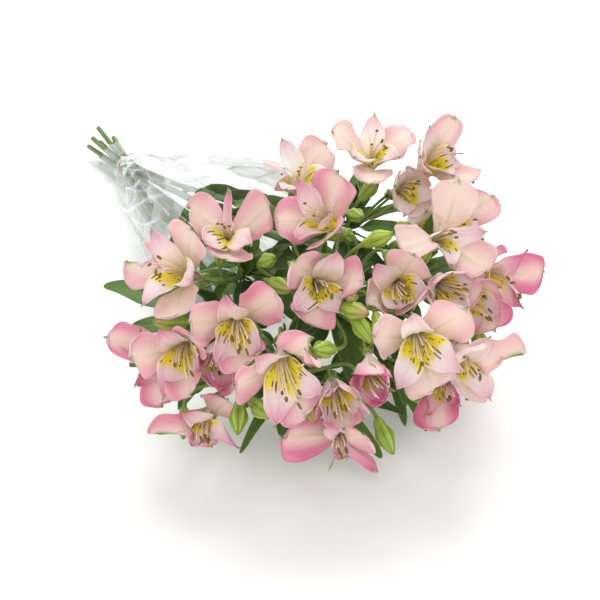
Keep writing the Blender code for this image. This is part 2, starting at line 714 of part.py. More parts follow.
def bud_stalk(name, growth, collection):
    foot = growth.tip - growth.facing * BUD_LENGTH
    path = stalk_line(growth.umbel, foot, growth.facing, 3)
    body = foot + growth.facing * BUD_LENGTH * np.array([[0.25], [0.65], [1.0]])
    radii = [PEDICEL_RADIUS] * 3 + [BUD_FOOT_RADIUS, BUD_RADIUS, BUD_TIP_RADIUS]
    return tube(name, np.vstack([path, body]), radii, collection)


def leaf_points(start, tip, half_width, bow, up, s, v):
    """A leaf's mid-surface. Its base is half turned over, as this plant's leaves are."""
    path = leaf_line(start, tip, bow, up, 33)
    lift = unit(up - unit(tip - start) * (up @ unit(tip - start)))
    t = np.linspace(0, 1, 33)
    middle = np.column_stack([np.interp(s, t, path[:, k]) for k in range(3)])
    slope = np.gradient(path, axis=0)
    tangent = np.column_stack([np.interp(s, t, slope[:, k]) for k in range(3)])
    tangent /= np.linalg.norm(tangent, axis=1, keepdims=True)
    flat_side = np.cross(tangent, lift)
    flat_side /= np.linalg.norm(flat_side, axis=1, keepdims=True)
    face = np.cross(flat_side, tangent)
    turn = (math.pi * 0.42 * (1 - smooth_step(0.0, 0.35, s)))[:, None]
    side = np.cos(turn) * flat_side + np.sin(turn) * face
    fold = np.cos(turn) * face - np.sin(turn) * flat_side
    past = np.clip((s - 0.42) / 0.58, 0, 1)
    width = half_width * (0.16 + 0.84 * smooth_step(0.02, 0.42, s)) * np.sqrt(1 - past ** 1.8)
    across = (v * width[:, None])[..., None]
    return middle[:, None] + side[:, None] * across + fold[:, None] * LEAF_FOLD * np.abs(across)


def umbel_leaf(name, number, growth, crowd, collection):
    points = leaf_points(growth.umbel, growth.tip, growth.half_width, growth.bow, LEAF_UP,
                         LEAF_ROWS, LEAF_COLUMNS)
    points = bend_clear(points, number, growth, crowd)
    return thick_sheet(name, sheet_mesh(points, tip=points[-1].mean(0)), LEAF_THICKNESS, collection)


def low_leaf(name, stem, base_y, tip_y, half_width, collection):
    """A leaf inside the sleeve, which runs forward beside its own stem."""
    base = stem_line(stem, base_y * MM)
    ahead = stem_line(stem, tip_y * MM)
    _, x, z = sleeve_size(tip_y * MM)
    outward = unit(ahead - np.array([x, z]))
    tip = ahead + outward * LOW_LEAF_OUT
    start = np.array([base[0], base_y * MM, base[1]])
    end = np.array([tip[0], tip_y * MM, tip[1]])
    up = np.array([outward[0], 0, outward[1]])
    points = leaf_points(start, end, half_width * MM, LOW_LEAF_BOW, up, LEAF_ROWS, LEAF_COLUMNS)
    for _ in range(3):
        radius, x, z = sleeve_size(points[..., 1])
        from_axis = np.stack([points[..., 0] - x, points[..., 2] - z], axis=-1)
        distance = np.linalg.norm(from_axis, axis=-1)
        room = give_way(radius - FILM_ROOM - distance, 0.5 * MM, 6 * MM)
        scale = (radius - FILM_ROOM - room) / distance
        points[..., 0] = x + from_axis[..., 0] * scale
        points[..., 2] = z + from_axis[..., 1] * scale
        points[..., 2] = give_way(points[..., 2], 1.8 * MM, 5 * MM)
    return thick_sheet(name, sheet_mesh(points, tip=points[-1].mean(0)), LEAF_THICKNESS, collection)


def make_stem(index, growths, crowd, collection, material):
    name = "stem_" + STEMS[index][0]
    path = stem_points(index, STEM_POINTS)
    radii = np.linspace(STEM_RADIUS_CUT, STEM_RADIUS_TOP, STEM_POINTS)
    pieces = [tube(name, path, radii, collection, bevel_resolution=1)]
    umbel = path[-1]
    along = unit(path[-1] - path[-2])
    knob = np.array([umbel - along * 6 * MM, umbel - along * 1.5 * MM, umbel + along * 3 * MM])
    knob_radii = [STEM_RADIUS_TOP * 0.9, KNOB_RADIUS, KNOB_RADIUS * 0.7]
    pieces.append(tube(name, knob, knob_radii, collection, bevel_resolution=1))
    for number, growth in enumerate(growths):
        if growth.stem == index and growth.kind == "bloom":
            pieces.append(bloom_stalk(name, growth, collection))
        if growth.stem == index and growth.kind == "bud":
            pieces.append(bud_stalk(name, growth, collection))
        if growth.stem == index and growth.kind == "leaf":
            pieces.append(umbel_leaf(name, number, growth, crowd, collection))
    pieces += [low_leaf(name, *row, collection) for row in LOW_LEAVES if row[0] == index]
    return joined(name, pieces, collection, material)


# What holds the bunch

def make_sleeve(collection, material):
    tie_share = (SLEEVE_TAIL_Y - TIE[1]) / (SLEEVE_TAIL_Y - SLEEVE_MOUTH_Y)
    stations = np.concatenate([[0], np.linspace(tie_share, 1, SLEEVE_ALONG)])
    along = stations[:, None] + np.zeros((1, SLEEVE_AROUND + 1))
    around = np.linspace(0, 1, SLEEVE_AROUND + 1)[None, :] + np.zeros((SLEEVE_ALONG + 1, 1))
    surface = sheet_mesh(sleeve_points(along, around), wrap=True)
    sleeve = thick_sheet("sleeve", surface, SLEEVE_FILM, collection)
    sleeve.data.materials.append(material)
    return sleeve


def make_band(collection, material):
    """The elastic band that holds the stems together inside the sleeve."""
    bm = bmesh.new()
    for height in (-1, 1):
        circle = bmesh.ops.create_circle(bm, segments=20, radius=BAND_RADIUS + BAND_THICK / 2)
        for vert in circle["verts"]:
            vert.co = (TIE[0] + vert.co.x, TIE[1] + height * BAND_WIDE / 2, TIE[2] + vert.co.y)
    bmesh.ops.bridge_loops(bm, edges=bm.edges)
    bmesh.ops.triangulate(bm, faces=bm.faces)
    band = thick_sheet("band", bm, BAND_THICK, collection)
    band.data.materials.append(material)
    return band


def main():
    for item in list(bpy.data.objects):
        bpy.data.objects.remove(item)
    bunch = collection_named("alstroemeria bunch")
    petal = plain_material("petal", (0.84, 0.44, 0.46), 0.5)
    green = plain_material("stem_green", (0.20, 0.32, 0.06), 0.45)
    film = plain_material("film", (0.92, 0.93, 0.93), 0.08)
    elastic = plain_material("elastic", (0.75, 0.62, 0.40), 0.6)

    growths = [Growth("bloom", row[0], facing=row[1], room_share=row[4]) for row in BLOOMS]
    growths += [Growth("bud", tip, facing=facing) for tip, facing in BUDS]
    growths += [Growth("leaf", tip, half_width=half_width, bow=bow) for tip, half_width, bow in LEAVES]
    growths += [Growth("stem", STEMS[index][1], stem=index) for index in range(len(STEMS))]
    move_apart(growths)
    crowd = Crowd(growths)

    made = []
    for number, (_, _, roll_deg, open_share, _) in enumerate(BLOOMS):
        place = BloomPlace(growths[number], roll_deg)
        made.append(make_bloom(number, place, growths[number], crowd, open_share, bunch, petal))
    made += [make_stem(index, growths, crowd, bunch, green) for index in range(len(STEMS))]
    made += [make_sleeve(bunch, film), make_band(bunch, elastic)]
    for piece in made:
        piece.location = MOVE


main()
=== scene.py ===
"""The looks of a cut alstroemeria bunch: petals, stamens, leaves, buds, stems and the film sleeve.

Metres, +Z up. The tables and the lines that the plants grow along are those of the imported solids.
"""

import math

import bpy
import numpy as np
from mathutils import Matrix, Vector, noise


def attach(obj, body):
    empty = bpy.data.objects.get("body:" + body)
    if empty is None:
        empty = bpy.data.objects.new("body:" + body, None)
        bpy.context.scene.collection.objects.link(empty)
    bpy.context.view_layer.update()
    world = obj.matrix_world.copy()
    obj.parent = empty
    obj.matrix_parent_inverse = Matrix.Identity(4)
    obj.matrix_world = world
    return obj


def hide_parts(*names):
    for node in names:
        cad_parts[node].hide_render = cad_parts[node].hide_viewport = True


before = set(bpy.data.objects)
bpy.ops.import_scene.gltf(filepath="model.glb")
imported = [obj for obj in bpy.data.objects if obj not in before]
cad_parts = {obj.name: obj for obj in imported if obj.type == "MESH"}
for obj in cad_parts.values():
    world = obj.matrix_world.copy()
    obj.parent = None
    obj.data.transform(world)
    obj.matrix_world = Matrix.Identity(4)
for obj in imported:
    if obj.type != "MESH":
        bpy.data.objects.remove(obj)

SEED = 7
MM = 0.001

# The bundle: where the stems are tied, and how they run from the cut ends to the umbels
STEM_RADIUS_CUT = 3.0 * MM
STEM_RADIUS_TOP = 2.3 * MM
STEM_GAP = 0.1 * MM
MIDDLE_DROP = 0.5 * MM
TIE = np.array([8, 305, 21]) * MM
STEM_FAN = 1.3
SPLAY = 5.5
RING_TURN_DEG = -12.0
STEM_POINTS = 7
ROOT_DEPTH = 2.0 * MM

# Each stem: name, umbel centre (x, y, z) and the y of its cut end, in mm. The last is in the middle
STEMS = (
    ("right", (66, -162, 68), 405),
    ("top_right", (50, -122, 98), 388),
    ("top", (2, -122, 100), 412),
    ("left_top", (-44, -138, 88), 398),
    ("left", (-62, -150, 54), 409),
    ("low_left", (-36, -190, 34), 396),
    ("low_right", (30, -194, 38), 402),
    ("middle", (-2, -182, 78), 411),
)

# Blooms: a tepal's length and half width, how far it flares at its claw and in all, where it is widest
# and how it narrows from there, the radius that it curls to, its small point and how strongly it's marked
OUTER = dict(length=50 * MM, half_width=15.5 * MM, claw=1.3 * MM, flare=80, claw_flare=16, widest=0.8,
             blunt=2.7, fall=0.42, curl=38 * MM, point=2.0 * MM, marked=0.0)
GUIDE = dict(length=49 * MM, half_width=10.5 * MM, claw=1.1 * MM, flare=56, claw_flare=4, widest=0.62,
             blunt=1.7, fall=1.0, curl=17 * MM, point=2.0 * MM, marked=1.0)
LOWER = dict(GUIDE, half_width=9.5 * MM, flare=60, curl=18 * MM, marked=0.15)
TEPALS = (
    (OUTER, 0, 0), (OUTER, 120, -4), (OUTER, -120, 4),
    (GUIDE, 60, -14), (GUIDE, -60, 14), (LOWER, 180, 0),
)
OUTER_COLUMNS = np.array([[-1.0, 0.0, 1.0]])
FIT_ROWS = np.array([0.4, 0.7, 0.88, 1.0])
CLAW_CURL = 8 * MM
RIPPLE = 1.3 * MM
THROAT_RADIUS = 3.2 * MM
BLOOM_DEPTH = 36 * MM
BLOOM_TOP = np.array([0, -0.5, -0.85])
ANTHER_RADIUS = 1.3 * MM

# Green parts
PEDICEL_RADIUS = 1.1 * MM
OVARY_LENGTH = 10 * MM
BUD_LENGTH = 22 * MM
LEAF_UP = np.array([0, -0.5, 0.8])
LEAF_FOLD = 0.28

# The room that each growth claims along its line from the umbel, and its stiff core, in mm
STALK_ROOM = (2, 2.5, 3, 3, 4)
STALK_CORE = (1.1, 1.1, 1.1, 1.1, 1.6)
BLOOM_ROOM = (6, 6, 14, 22, 27)
BLOOM_CORE = (4, 4, 8, 10, 10)
BLOOM_MARKS = (5, 10, 22, 34)
BUD_ROOM = (5, 7, 5)
BUD_CORE = (4, 5.2, 3)
BUD_MARKS = (0.35, 0.65, 1.0)
LEAF_ROOM = (0.4, 0.7, 1.0, 1.0, 0.8, 0.4)
LEAF_CORE = 2.0
STEM_ROOM = 3.5

# Room between neighbours
SEAT_GAP = 0.3 * MM
CLEAR = 0.9 * MM
SOFT = 7.0 * MM
FLOOR_CLEAR = 0.6 * MM
CORE_GAP = 1.0 * MM
NEAR_UMBEL = 22 * MM
NEIGHBOUR_REACH = 45 * MM
MOVE_ROUNDS = 40
EASE = {"bloom": 0.3, "bud": 1.0, "leaf": 0.8}
LEAN_IN = (1.0, 0.86, 0.72, 0.58, 0.44, 0.32)
FIT_OVERLAP = 4.5 * MM
LEAST_KEEP = 0.3

# The sleeve: a cone of film, gathered at the tie and open at the flower head
SLEEVE_TAIL_Y = 336 * MM
SLEEVE_TAIL_RADIUS = 20.5 * MM
SLEEVE_COLLAR_RADIUS = 12.9 * MM
SLEEVE_MOUTH_Y = -80 * MM
SLEEVE_MOUTH_RADIUS = 86 * MM
SLEEVE_MOUTH_Z = 62 * MM
SLEEVE_BELL = 0.85

# The whole bunch is moved by this, so that the origin is at its bottom centre
MOVE = np.array([-0.5, -43.2, 0]) * MM

# Each bloom: mouth centre (x, y, z) in mm, the way it faces (bearing from the front towards +X, and
# rise), its roll from the natural one, all in degrees, how far it is open, from 0 to 1, and its share
# of the room between it and its neighbours
BLOOMS = (
    ((-116, -193, 134), (-62, 32), 10, 0.95, 1.4),
    ((-75, -192, 152), (-34, 52), -15, 0.95, 1.0),
    ((-3, -148, 163), (-28, 60), 10, 1.0, 1.4),
    ((-33, -224, 164), (-69, 37), 20, 0.6, 1.0),
    ((48, -161, 176), (-14, 60), -20, 0.95, 1.4),
    ((65, -183, 150), (-11, 28), 15, 0.95, 0.8),
    ((84, -188, 171), (4, 42), 30, 0.7, 1.0),
    ((-41, -253, 131), (-16, 22), -30, 0.9, 0.85),
    ((-95, -248, 112), (-25, 10), 0, 0.9, 1.2),
    ((-123, -228, 92), (-30, 12), 10, 0.85, 1.1),
    ((-130, -198, 77), (-41, 6), -10, 0.85, 1.0),
    ((-84, -285, 98), (-24, -3), 20, 0.9, 1.3),
    ((-104, -231, 86), (-31, 7), 40, 0.7, 0.75),
    ((-114, -236, 42), (-35, 4), 10, 0.85, 1.1),
    ((-58, -295, 80), (-25, 11), 0, 0.85, 0.8),
    ((-54, -295, 52), (-29, 14), 5, 0.9, 1.1),
    ((-9, -306, 108), (-28, 10), 0, 1.0, 1.45),
    ((26, -307, 84), (-15, 8), -30, 0.9, 1.15),
    ((-1, -269, 125), (-32, 16), 30, 0.9, 0.8),
    ((35, -270, 119), (-21, 20), 60, 0.8, 0.75),
    ((47, -249, 145), (-18, 35), 30, 0.95, 1.35),
    ((86, -209, 131), (0, 42), -10, 0.85, 0.8),
    ((92, -257, 105), (6, 8), -20, 0.9, 1.15),
    ((61, -267, 102), (-6, 16), 20, 0.8, 0.75),
    ((-40, -307, 100), (-25, 5), 60, 0.28, 0.6),
    ((17, -296, 71), (-22, 8), -10, 0.8, 0.8),
    ((132, -188, 66), (75, 5), -60, 0.85, 1.1),
    ((118, -138, 102), (95, 25), -30, 0.8, 1.0),
    ((80, -236, 46), (35, -5), 20, 0.8, 1.0),
)

# Each bud: tip (x, y, z) in mm, and the way it points, as for the blooms
BUDS = (
    ((53, -158, 151), (38, 53)), ((11, -238, 147), (26, 32)), ((-24, -240, 134), (10, 3)),
    ((-54, -235, 125), (9, 10)), ((-62, -281, 110), (-60, 26)), ((-26, -275, 121), (15, 11)),
    ((-27, -280, 100), (6, -28)), ((-104, -266, 60), (-27, -19)), ((-24, -305, 44), (0, -31)),
    ((-63, -293, 75), (-5, -26)), ((-127, -200, 105), (-88, 19)), ((-82, -263, 62), (10, 2)),
    ((58, -282, 75), (-20, -11)), ((71, -249, 110), (-17, 4)), ((91, -178, 167), (3, 55)),
)

# Each leaf at an umbel: tip (x, y, z), half width and bow, in mm
LEAVES = (
    ((-133, -108, 88), 10.5, 12), ((-127, -143, 70), 10.0, 10), ((-132, -148, 45), 9.0, 10),
    ((-27, -92, 122), 9.5, 14), ((123, -170, 130), 10.0, 12), ((145, -183, 122), 8.0, 10),
    ((27, -268, 15), 8.5, 8), ((24, -251, 25), 8.0, 8), ((-11, -275, 12), 8.5, 8),
    ((-62, -229, 35), 8.0, 8), ((116, -220, 75), 7.0, 8), ((-114, -190, 30), 8.0, 8),
    ((10, -112, 138), 8.0, 10), ((140, -150, 56), 9.0, 10), ((76, -98, 130), 9.0, 12),
)

# Each leaf lower down, inside the sleeve: stem, y of its base and of its tip, and half width, in mm
LOW_LEAVES = ((0, 0, -72, 8), (1, 30, -66, 9), (2, -5, -70, 9), (3, 30, -56, 9), (4, 10, -70, 8))
LOW_LEAF_OUT = 12 * MM
LOW_LEAF_BOW = 4 * MM
FILM_ROOM = 7 * MM

# Fine shapes of the blooms. Each tepal's sweep, flare and twist vary by so many degrees
NARROWEST = 0.35
WIDTH_GIVEN_BACK = 0.8
SETTLE_ROUNDS = 6
RUFFLE = 0.11
KEEL = 0.7 * MM
POINT_WIDTH = 0.13
CLAW_SCALE = 1.7
TIP_CROWDING = 1.5
EDGE_THINNING = 0.4
TEPAL_ROWS = 30
TEPAL_COLUMNS = 17
PETAL_THICKNESS = 0.45 * MM
PETAL_CLEAR = 0.45 * MM
TEPAL_STEPS = 64
SWEEP_SPREAD = 7
LENGTH_SPREAD = (0.93, 1.04)
FLARE_SPREAD = 7
TWIST_SPREAD = 14
TONE_SPREAD = 0.12
THROAT_AT = (-0.3, 0.6, 2.4)
THROAT_OUTLINE = (0.9, 1.0, 0.75)
THROAT_SIDES = 16
THROAT_TONE = 0.8

# Stamens: lengths, lifts and radii in mm, and the share of the filaments that still carry an anther
FILAMENTS = 6
FILAMENT_POINTS = 12
FILAMENT_SIDES = 8
FILAMENT_STEP = 1.5
FILAMENT_LENGTH = (34, 50)
FILAMENT_LIFT = (-2.0, 4.5)
FILAMENT_RADII = (0.65, 0.38)
PISTIL_SHARE = 0.8
ANTHER_SHARE = 0.65
ANTHER_POINTS = 9
ANTHER_SIDES = 10
ANTHER_LENGTH = 4.6 * MM

# A bud's and an ovary's radius in mm at shares of the length, and how far a bud's tip is drawn out
# and, in mm, leans aside
RIBS = 6
RIBBED_SIDES = 36
BUD_POINTS = 25
BUD_OUTLINE_AT = (0, 0.08, 0.2, 0.3, 0.46, 0.6, 0.76, 0.88, 0.95, 1)
BUD_OUTLINE = (1.3, 2.7, 3.4, 3.6, 4.8, 5.3, 4.6, 3.1, 1.8, 0.4)
BUD_POINT = 2.5 * MM
BUD_LEAN = 2
OVARY_POINTS = 13
OVARY_OUTLINE_AT = (0, 0.2, 0.5, 0.8, 1)
OVARY_OUTLINE = (1.3, 2.9, 4.0, 3.9, 3.1)

# Stems: the knob at the umbel, as radii in mm at places along it, and how a pedicel widens at its ends
STEM_FINE_POINTS = 60
STEM_SIDES = 20
KNOB_AT = (-7, -4, -1.5, 0.5, 2, 3)
KNOB_OUTLINE = (2.1, 2.9, 3.7, 3.6, 2.9, 1.6)
STALK_POINTS = 16
STALK_SIDES = 10
STALK_WIDENS_AT = (0, 0.15, 0.85, 1)
STALK_WIDTH = (1.5, 1.0, 1.0, 1.25)

# Leaves, with sizes in mm. Tones run from dark ones at 0 to young ones at 1; the dark end is old leaves'
# colour, and on the leaves deep in the head and inside the sleeve it is also painted shade
LEAF_LONG = 28
LEAF_WIDE = 11
LEAF_STEPS = 32
LEAF_SHEET = 0.5 * MM
LEAF_TONES = (0.3, 0.6)
# Leaves inside the sleeve take dark tones, partly painted shade for the shade inside the sleeve
LOW_LEAF_SHADED_TONES = (0.15, 0.4)
LOW_LEAF_LOWEST = 1.8 * MM
LOW_LEAF_SOFT = 5 * MM
FILM_SOFT = 6 * MM
SMALL_LEAF_SHARE = 0.7
SMALL_LEAF_LENGTH = (17, 30)
SMALL_LEAF_HALF_WIDTH = (2.2, 3.8)
SMALL_LEAF_BOW = (3, 7)
SMALL_LEAF_TONES = (0.45, 1.0)

# Leaves deep in each umbel, with sizes and limits in mm, and the share of a leaf's room that they claim
DEEP_LEAVES = 13
DEEP_REACH = (38, 72)
DEEP_HALF_WIDTH = (7.5, 11.5)
DEEP_BOW = (4, 11)
DEEP_LOWEST = 6
DEEP_REARMOST = -92
DEEP_ROOM = 0.4
# The deep leaves' tones are dark: partly their own green, partly painted shade for the shade between the
# blooms
DEEP_SHADED_TONES = (0.0, 0.4)

# How deep a pink each bloom has, from 0 to 1. It is partly each bloom's own colour and partly painted shade
# and light: the low blooms in the head's shade are mostly given a deeper pink, the top ones in the light a
# paler one
BLOOM_PINK_AND_SHADE = (
    0.2, 0.3, 0.08, 0.4, 0.12, 0.1, 0.2, 0.3, 0.4, 0.4, 0.6, 0.4, 0.8, 0.45, 0.45,
    0.5, 0.08, 0.12, 0.3, 0.3, 0.1, 0.25, 0.6, 0.45, 0.9, 0.75, 0.45, 0.3, 0.7,
)

# Buds that only the looks have: tip (x, y, z) in mm, the way each points, and how plump it is
MORE_BUDS = (
    ((13, -202, 145), (-10, 15), 0.9), ((-21, -284, 104), (-18, -27), 0.9),
    ((-46, -290, 58), (-45, -46), 1.0), ((-76, -180, 141), (-19, 77), 0.9),
    ((97, -223, 120), (1, 42), 0.9), ((-21, -255, 130), (-22, 8), 0.9),
    ((-44, -230, 130), (-9, 9), 0.9), ((-118, -205, 52), (-11, -3), 1.0),
    ((-122, -223, 34), (-22, -19), 0.9), ((36, -247, 135), (4, 47), 0.9),
    ((-21, -199, 142), (4, 31), 0.9), ((38, -219, 141), (-4, 36), 0.9),
    ((-5, -212, 142), (1, 28), 0.9), ((-52, -208, 133), (2, 32), 0.9),
    ((10, -248, 132), (-14, 5), 0.9), ((-4, -299, 70), (-25, 6), 1.0),
    ((46, -289, 53), (-3, 24), 1.0), ((-86, -248, 89), (-33, -3), 0.9),
    ((-60, -270, 93), (-13, -7), 0.9), ((-31, -264, 125), (-31, 13), 0.8),
    ((118, -226, 84), (40, 5), 0.9), ((108, -206, 56), (60, -10), 0.9),
)

# Leaves inside the sleeve that only the looks have, as in LOW_LEAVES
MORE_LOW_LEAVES = (
    (0, 60, -40, 9), (1, 90, -20, 8), (2, 70, -10, 9), (3, 80, -20, 8), (4, 60, -30, 8), (5, 20, -60, 8),
    (6, 30, -60, 8), (7, 40, -50, 8), (2, 120, 30, 7), (3, 140, 50, 7), (1, 130, 40, 7), (0, 140, 50, 6),
)

# The film: its pleats and crumples, how much of it is seen, and its folds, as how many go round it, how
# much they slant and how high they stand
FILM_ROWS = 150
FILM_COLUMNS = 220
FILM_LOWEST = 0.4 * MM
FILM_PLEAT = 1.3 * MM
FILM_PLEATS = 13
FILM_CRUMPLE = 1.4 * MM
FILM_INWARDS = 2.0 * MM
CRUMPLES_ACROSS = 5
CRUMPLES_A_METRE = 22
FILM_HAZE = 0.12
FILM_FACETS = 0.36
FILM_FOLDS = (
    (7, 2.2, 5.0 * MM), (11, -3.1, 3.2 * MM), (5, -1.2, 4.5 * MM), (16, 4.3, 1.8 * MM), (23, 0.8, 1.2 * MM),
)

# Camera, light and floor. A lamp has a name, a place, the point that it faces, a size and a power
CAMERA_PLACE = (-0.2575, -0.6742, 0.357)
CAMERA_DOWN_DEG = 28.3
CAMERA_BEARING_DEG = -27.8
CAMERA_LENS = 51.4
WORLD_STRENGTH = 0.92
LAMPS = (
    ("top lamp", (0.35, 0.35, 1.5), (0.0, -0.2, 0.05), 1.1, 15.0),
    ("front lamp", (-0.9, -1.5, 1.1), (0.0, -0.2, 0.05), 0.9, 8.0),
)
FLOOR_HALF = 12.0
FLOOR_LEVEL = -0.0003


def unit(vector):
    return np.asarray(vector, float) / np.linalg.norm(vector)


def smooth_step(low, high, x):
    t = np.clip((np.asarray(x, float) - low) / (high - low), 0, 1)
    return t * t * (3 - 2 * t)


def heading(bearing_deg, rise_deg):
    bearing = math.radians(bearing_deg)
    rise = math.radians(rise_deg)
    flat = math.cos(rise)
    return np.array([math.sin(bearing) * flat, -math.cos(bearing) * flat, math.sin(rise)])


def running_sum(steps):
    return np.concatenate([[0], np.cumsum(steps)])


def spans(points):
    """How far along a path each of its points is."""
    return running_sum(np.linalg.norm(np.diff(points, axis=0), axis=1))


def at_shares(s, values):
    """The places, or slopes, at shares of a path, between those that are given."""
    t = np.linspace(0, 1, len(values))
    return np.column_stack([np.interp(s, t, values[:, k]) for k in range(3)])


def bezier(start, start_pull, end_pull, end, count):
    t = np.linspace(0, 1, count)[:, None]
    return ((1 - t) ** 3 * start + 3 * (1 - t) ** 2 * t * start_pull
            + 3 * (1 - t) * t ** 2 * end_pull + t ** 3 * end)


def tie_place(index):
    """Where a stem passes the tie, as (x, z): all but the last stand in a ring, and that lies inside it."""
    middle = TIE[[0, 2]]
    if index == len(STEMS) - 1:
        return middle - np.array([0, MIDDLE_DROP])
    ring = len(STEMS) - 1
    radius = (2 * STEM_RADIUS_CUT + STEM_GAP) / (2 * math.sin(math.pi / ring))
    angle = math.radians(RING_TURN_DEG) + 2 * math.pi * index / ring
    return middle + radius * np.array([math.cos(angle), math.sin(angle)])


def stem_line(index, y):
    """A stem's centre (x, z) at each y. It runs on past the umbel, as the middle of the stem's own room."""
    tie = tie_place(index)
    umbel = np.array(STEMS[index][1]) * MM
    t = (TIE[1] - np.asarray(y, float)) / (TIE[1] - umbel[1])
    fan = np.where(t > 1, 1 + STEM_FAN * (t - 1), np.clip(t, 0, 1) ** STEM_FAN)
    spread = 1 + SPLAY * np.clip(-t, 0, None)
    middle = TIE[[0, 2]]
    at_tie = middle + (tie - middle) * spread[..., None]
    return at_tie + (umbel[[0, 2]] - tie) * fan[..., None]


def stem_points(index, count):
    cut_y = STEMS[index][2] * MM
    umbel_y = STEMS[index][1][1] * MM
    y = np.concatenate([[cut_y], np.linspace(TIE[1], umbel_y, count - 1)])
    across = stem_line(index, y)
    return np.column_stack([across[:, 0], y, across[:, 1]])


def sleeve_size(y):
    """The sleeve's radius and its axis (x, z) at each y."""
    along = np.clip((TIE[1] - y) / (TIE[1] - SLEEVE_MOUTH_Y), 0, 1)
    beyond = np.clip((y - TIE[1]) / (SLEEVE_TAIL_Y - TIE[1]), 0, 1)
    radius = (SLEEVE_COLLAR_RADIUS + (SLEEVE_MOUTH_RADIUS - SLEEVE_COLLAR_RADIUS) * along ** SLEEVE_BELL
              + (SLEEVE_TAIL_RADIUS - SLEEVE_COLLAR_RADIUS) * beyond)
    x = TIE[0] * (1 - along)
    z = TIE[2] + (SLEEVE_MOUTH_Z - TIE[2]) * along
    return radius, x, z


class Growth:
    """A bloom, bud or leaf of an umbel, or the stem itself, with the line that it grows along."""

    def __init__(self, kind, tip, facing=None, room_share=1.0, bow=0.0, half_width=0.0, stem=None,
                 swell=1.0, tones=LEAF_TONES):
        self.kind = kind
        self.swell = swell
        self.tones = tones
        self.tip = np.array(tip, float) * MM
        if stem is None:
            gaps = [np.linalg.norm(np.array(row[1]) - tip) for row in STEMS]
            stem = int(np.argmin(gaps))
        self.stem = stem
        self.umbel = np.array(STEMS[stem][1]) * MM
        self.room_share = room_share
        self.bow = bow * MM
        self.half_width = half_width * MM
        self.faces = None if facing is None else heading(*facing)
        self.grow()

    def grow(self):
        """Works out the line, the room that it claims at each point and how thick its stiff core is."""
        if self.kind == "stem":
            self.line = stem_points(self.stem, STEM_POINTS)
            self.room = np.full(STEM_POINTS, STEM_ROOM * MM)
            self.core = np.full(STEM_POINTS, STEM_RADIUS_CUT)
            return
        self.facing = unit(self.tip - self.umbel) if self.faces is None else self.faces
        if self.kind == "leaf":
            self.line = leaf_line(self.umbel, self.tip, self.bow, LEAF_UP, len(LEAF_ROOM))
            self.room = self.half_width * np.array(LEAF_ROOM)
            self.core = np.full(len(LEAF_ROOM), LEAF_CORE * MM)
            return
        if self.kind == "bloom":
            length = BLOOM_DEPTH + SEAT_GAP + OVARY_LENGTH
            marks = np.append(np.array(BLOOM_MARKS) * MM, length)
            room, core = BLOOM_ROOM, BLOOM_CORE
        else:
            length = BUD_LENGTH
            marks = np.array(BUD_MARKS) * length
            room, core = BUD_ROOM, BUD_CORE
        foot = self.tip - self.facing * length
        stalk = stalk_line(self.umbel, foot, self.facing, len(STALK_ROOM))
        self.line = np.vstack([stalk, foot + marks[:, None] * self.facing])
        self.room = np.append(STALK_ROOM, np.array(room) * self.room_share) * MM
        self.core = np.array(STALK_CORE + core) * MM


def stalk_line(umbel, foot, direction, count):
    span = np.linalg.norm(foot - umbel)
    away = unit(0.75 * (foot - umbel) / span + 0.25 * np.array([0, -1.0, 0]))
    root = umbel + away * ROOT_DEPTH
    return bezier(root, umbel + away * span * 0.35, foot - direction * span * 0.35, foot, count)


def leaf_line(start, tip, bow, up, count):
    along = unit(tip - start)
    start = start + along * ROOT_DEPTH
    lift = unit(up - along * (up @ along)) * bow
    third = (tip - start) * 0.3
    return bezier(start, start + third + lift, tip - third + lift, tip, count)


def move_apart(growths):
    """Moves the tips of stalks and leaves whose stiff cores stand too close to each other."""
    movers = [growth for growth in growths if growth.kind != "stem"]
    for _ in range(MOVE_ROUNDS):
        lines = [growth.line for growth in growths]
        spots = np.vstack(lines)
        cores = np.concatenate([growth.core for growth in growths])
        owner = np.concatenate([np.full(len(line), n) for n, line in enumerate(lines)])
        for number, growth in enumerate(growths):
            if growth.kind == "stem":
                continue
            away = np.linalg.norm(growth.line - growth.umbel, axis=1)
            far = away > NEAR_UMBEL
            offset = growth.line[far][:, None] - spots[None]
            distance = np.linalg.norm(offset, axis=-1) + 1e-9
            wanted = growth.core[far][:, None] + cores[None] + CORE_GAP
            short = np.where(owner[None] != number, wanted - distance, 0).clip(0)
            push = (offset / distance[..., None] * short[..., None]).reshape(-1, 3)
            strongest = np.abs(push).sum(1).argmax()
            growth.tip = growth.tip + push[strongest] * EASE[growth.kind] * 0.5
            lift = (FLOOR_CLEAR + growth.core[far] - growth.line[far][:, 2]).max(initial=0)
            growth.tip[2] += lift
            growth.tip[1] = min(growth.tip[1], SLEEVE_MOUTH_Y - 8 * MM)
        for growth in movers:
            growth.grow()


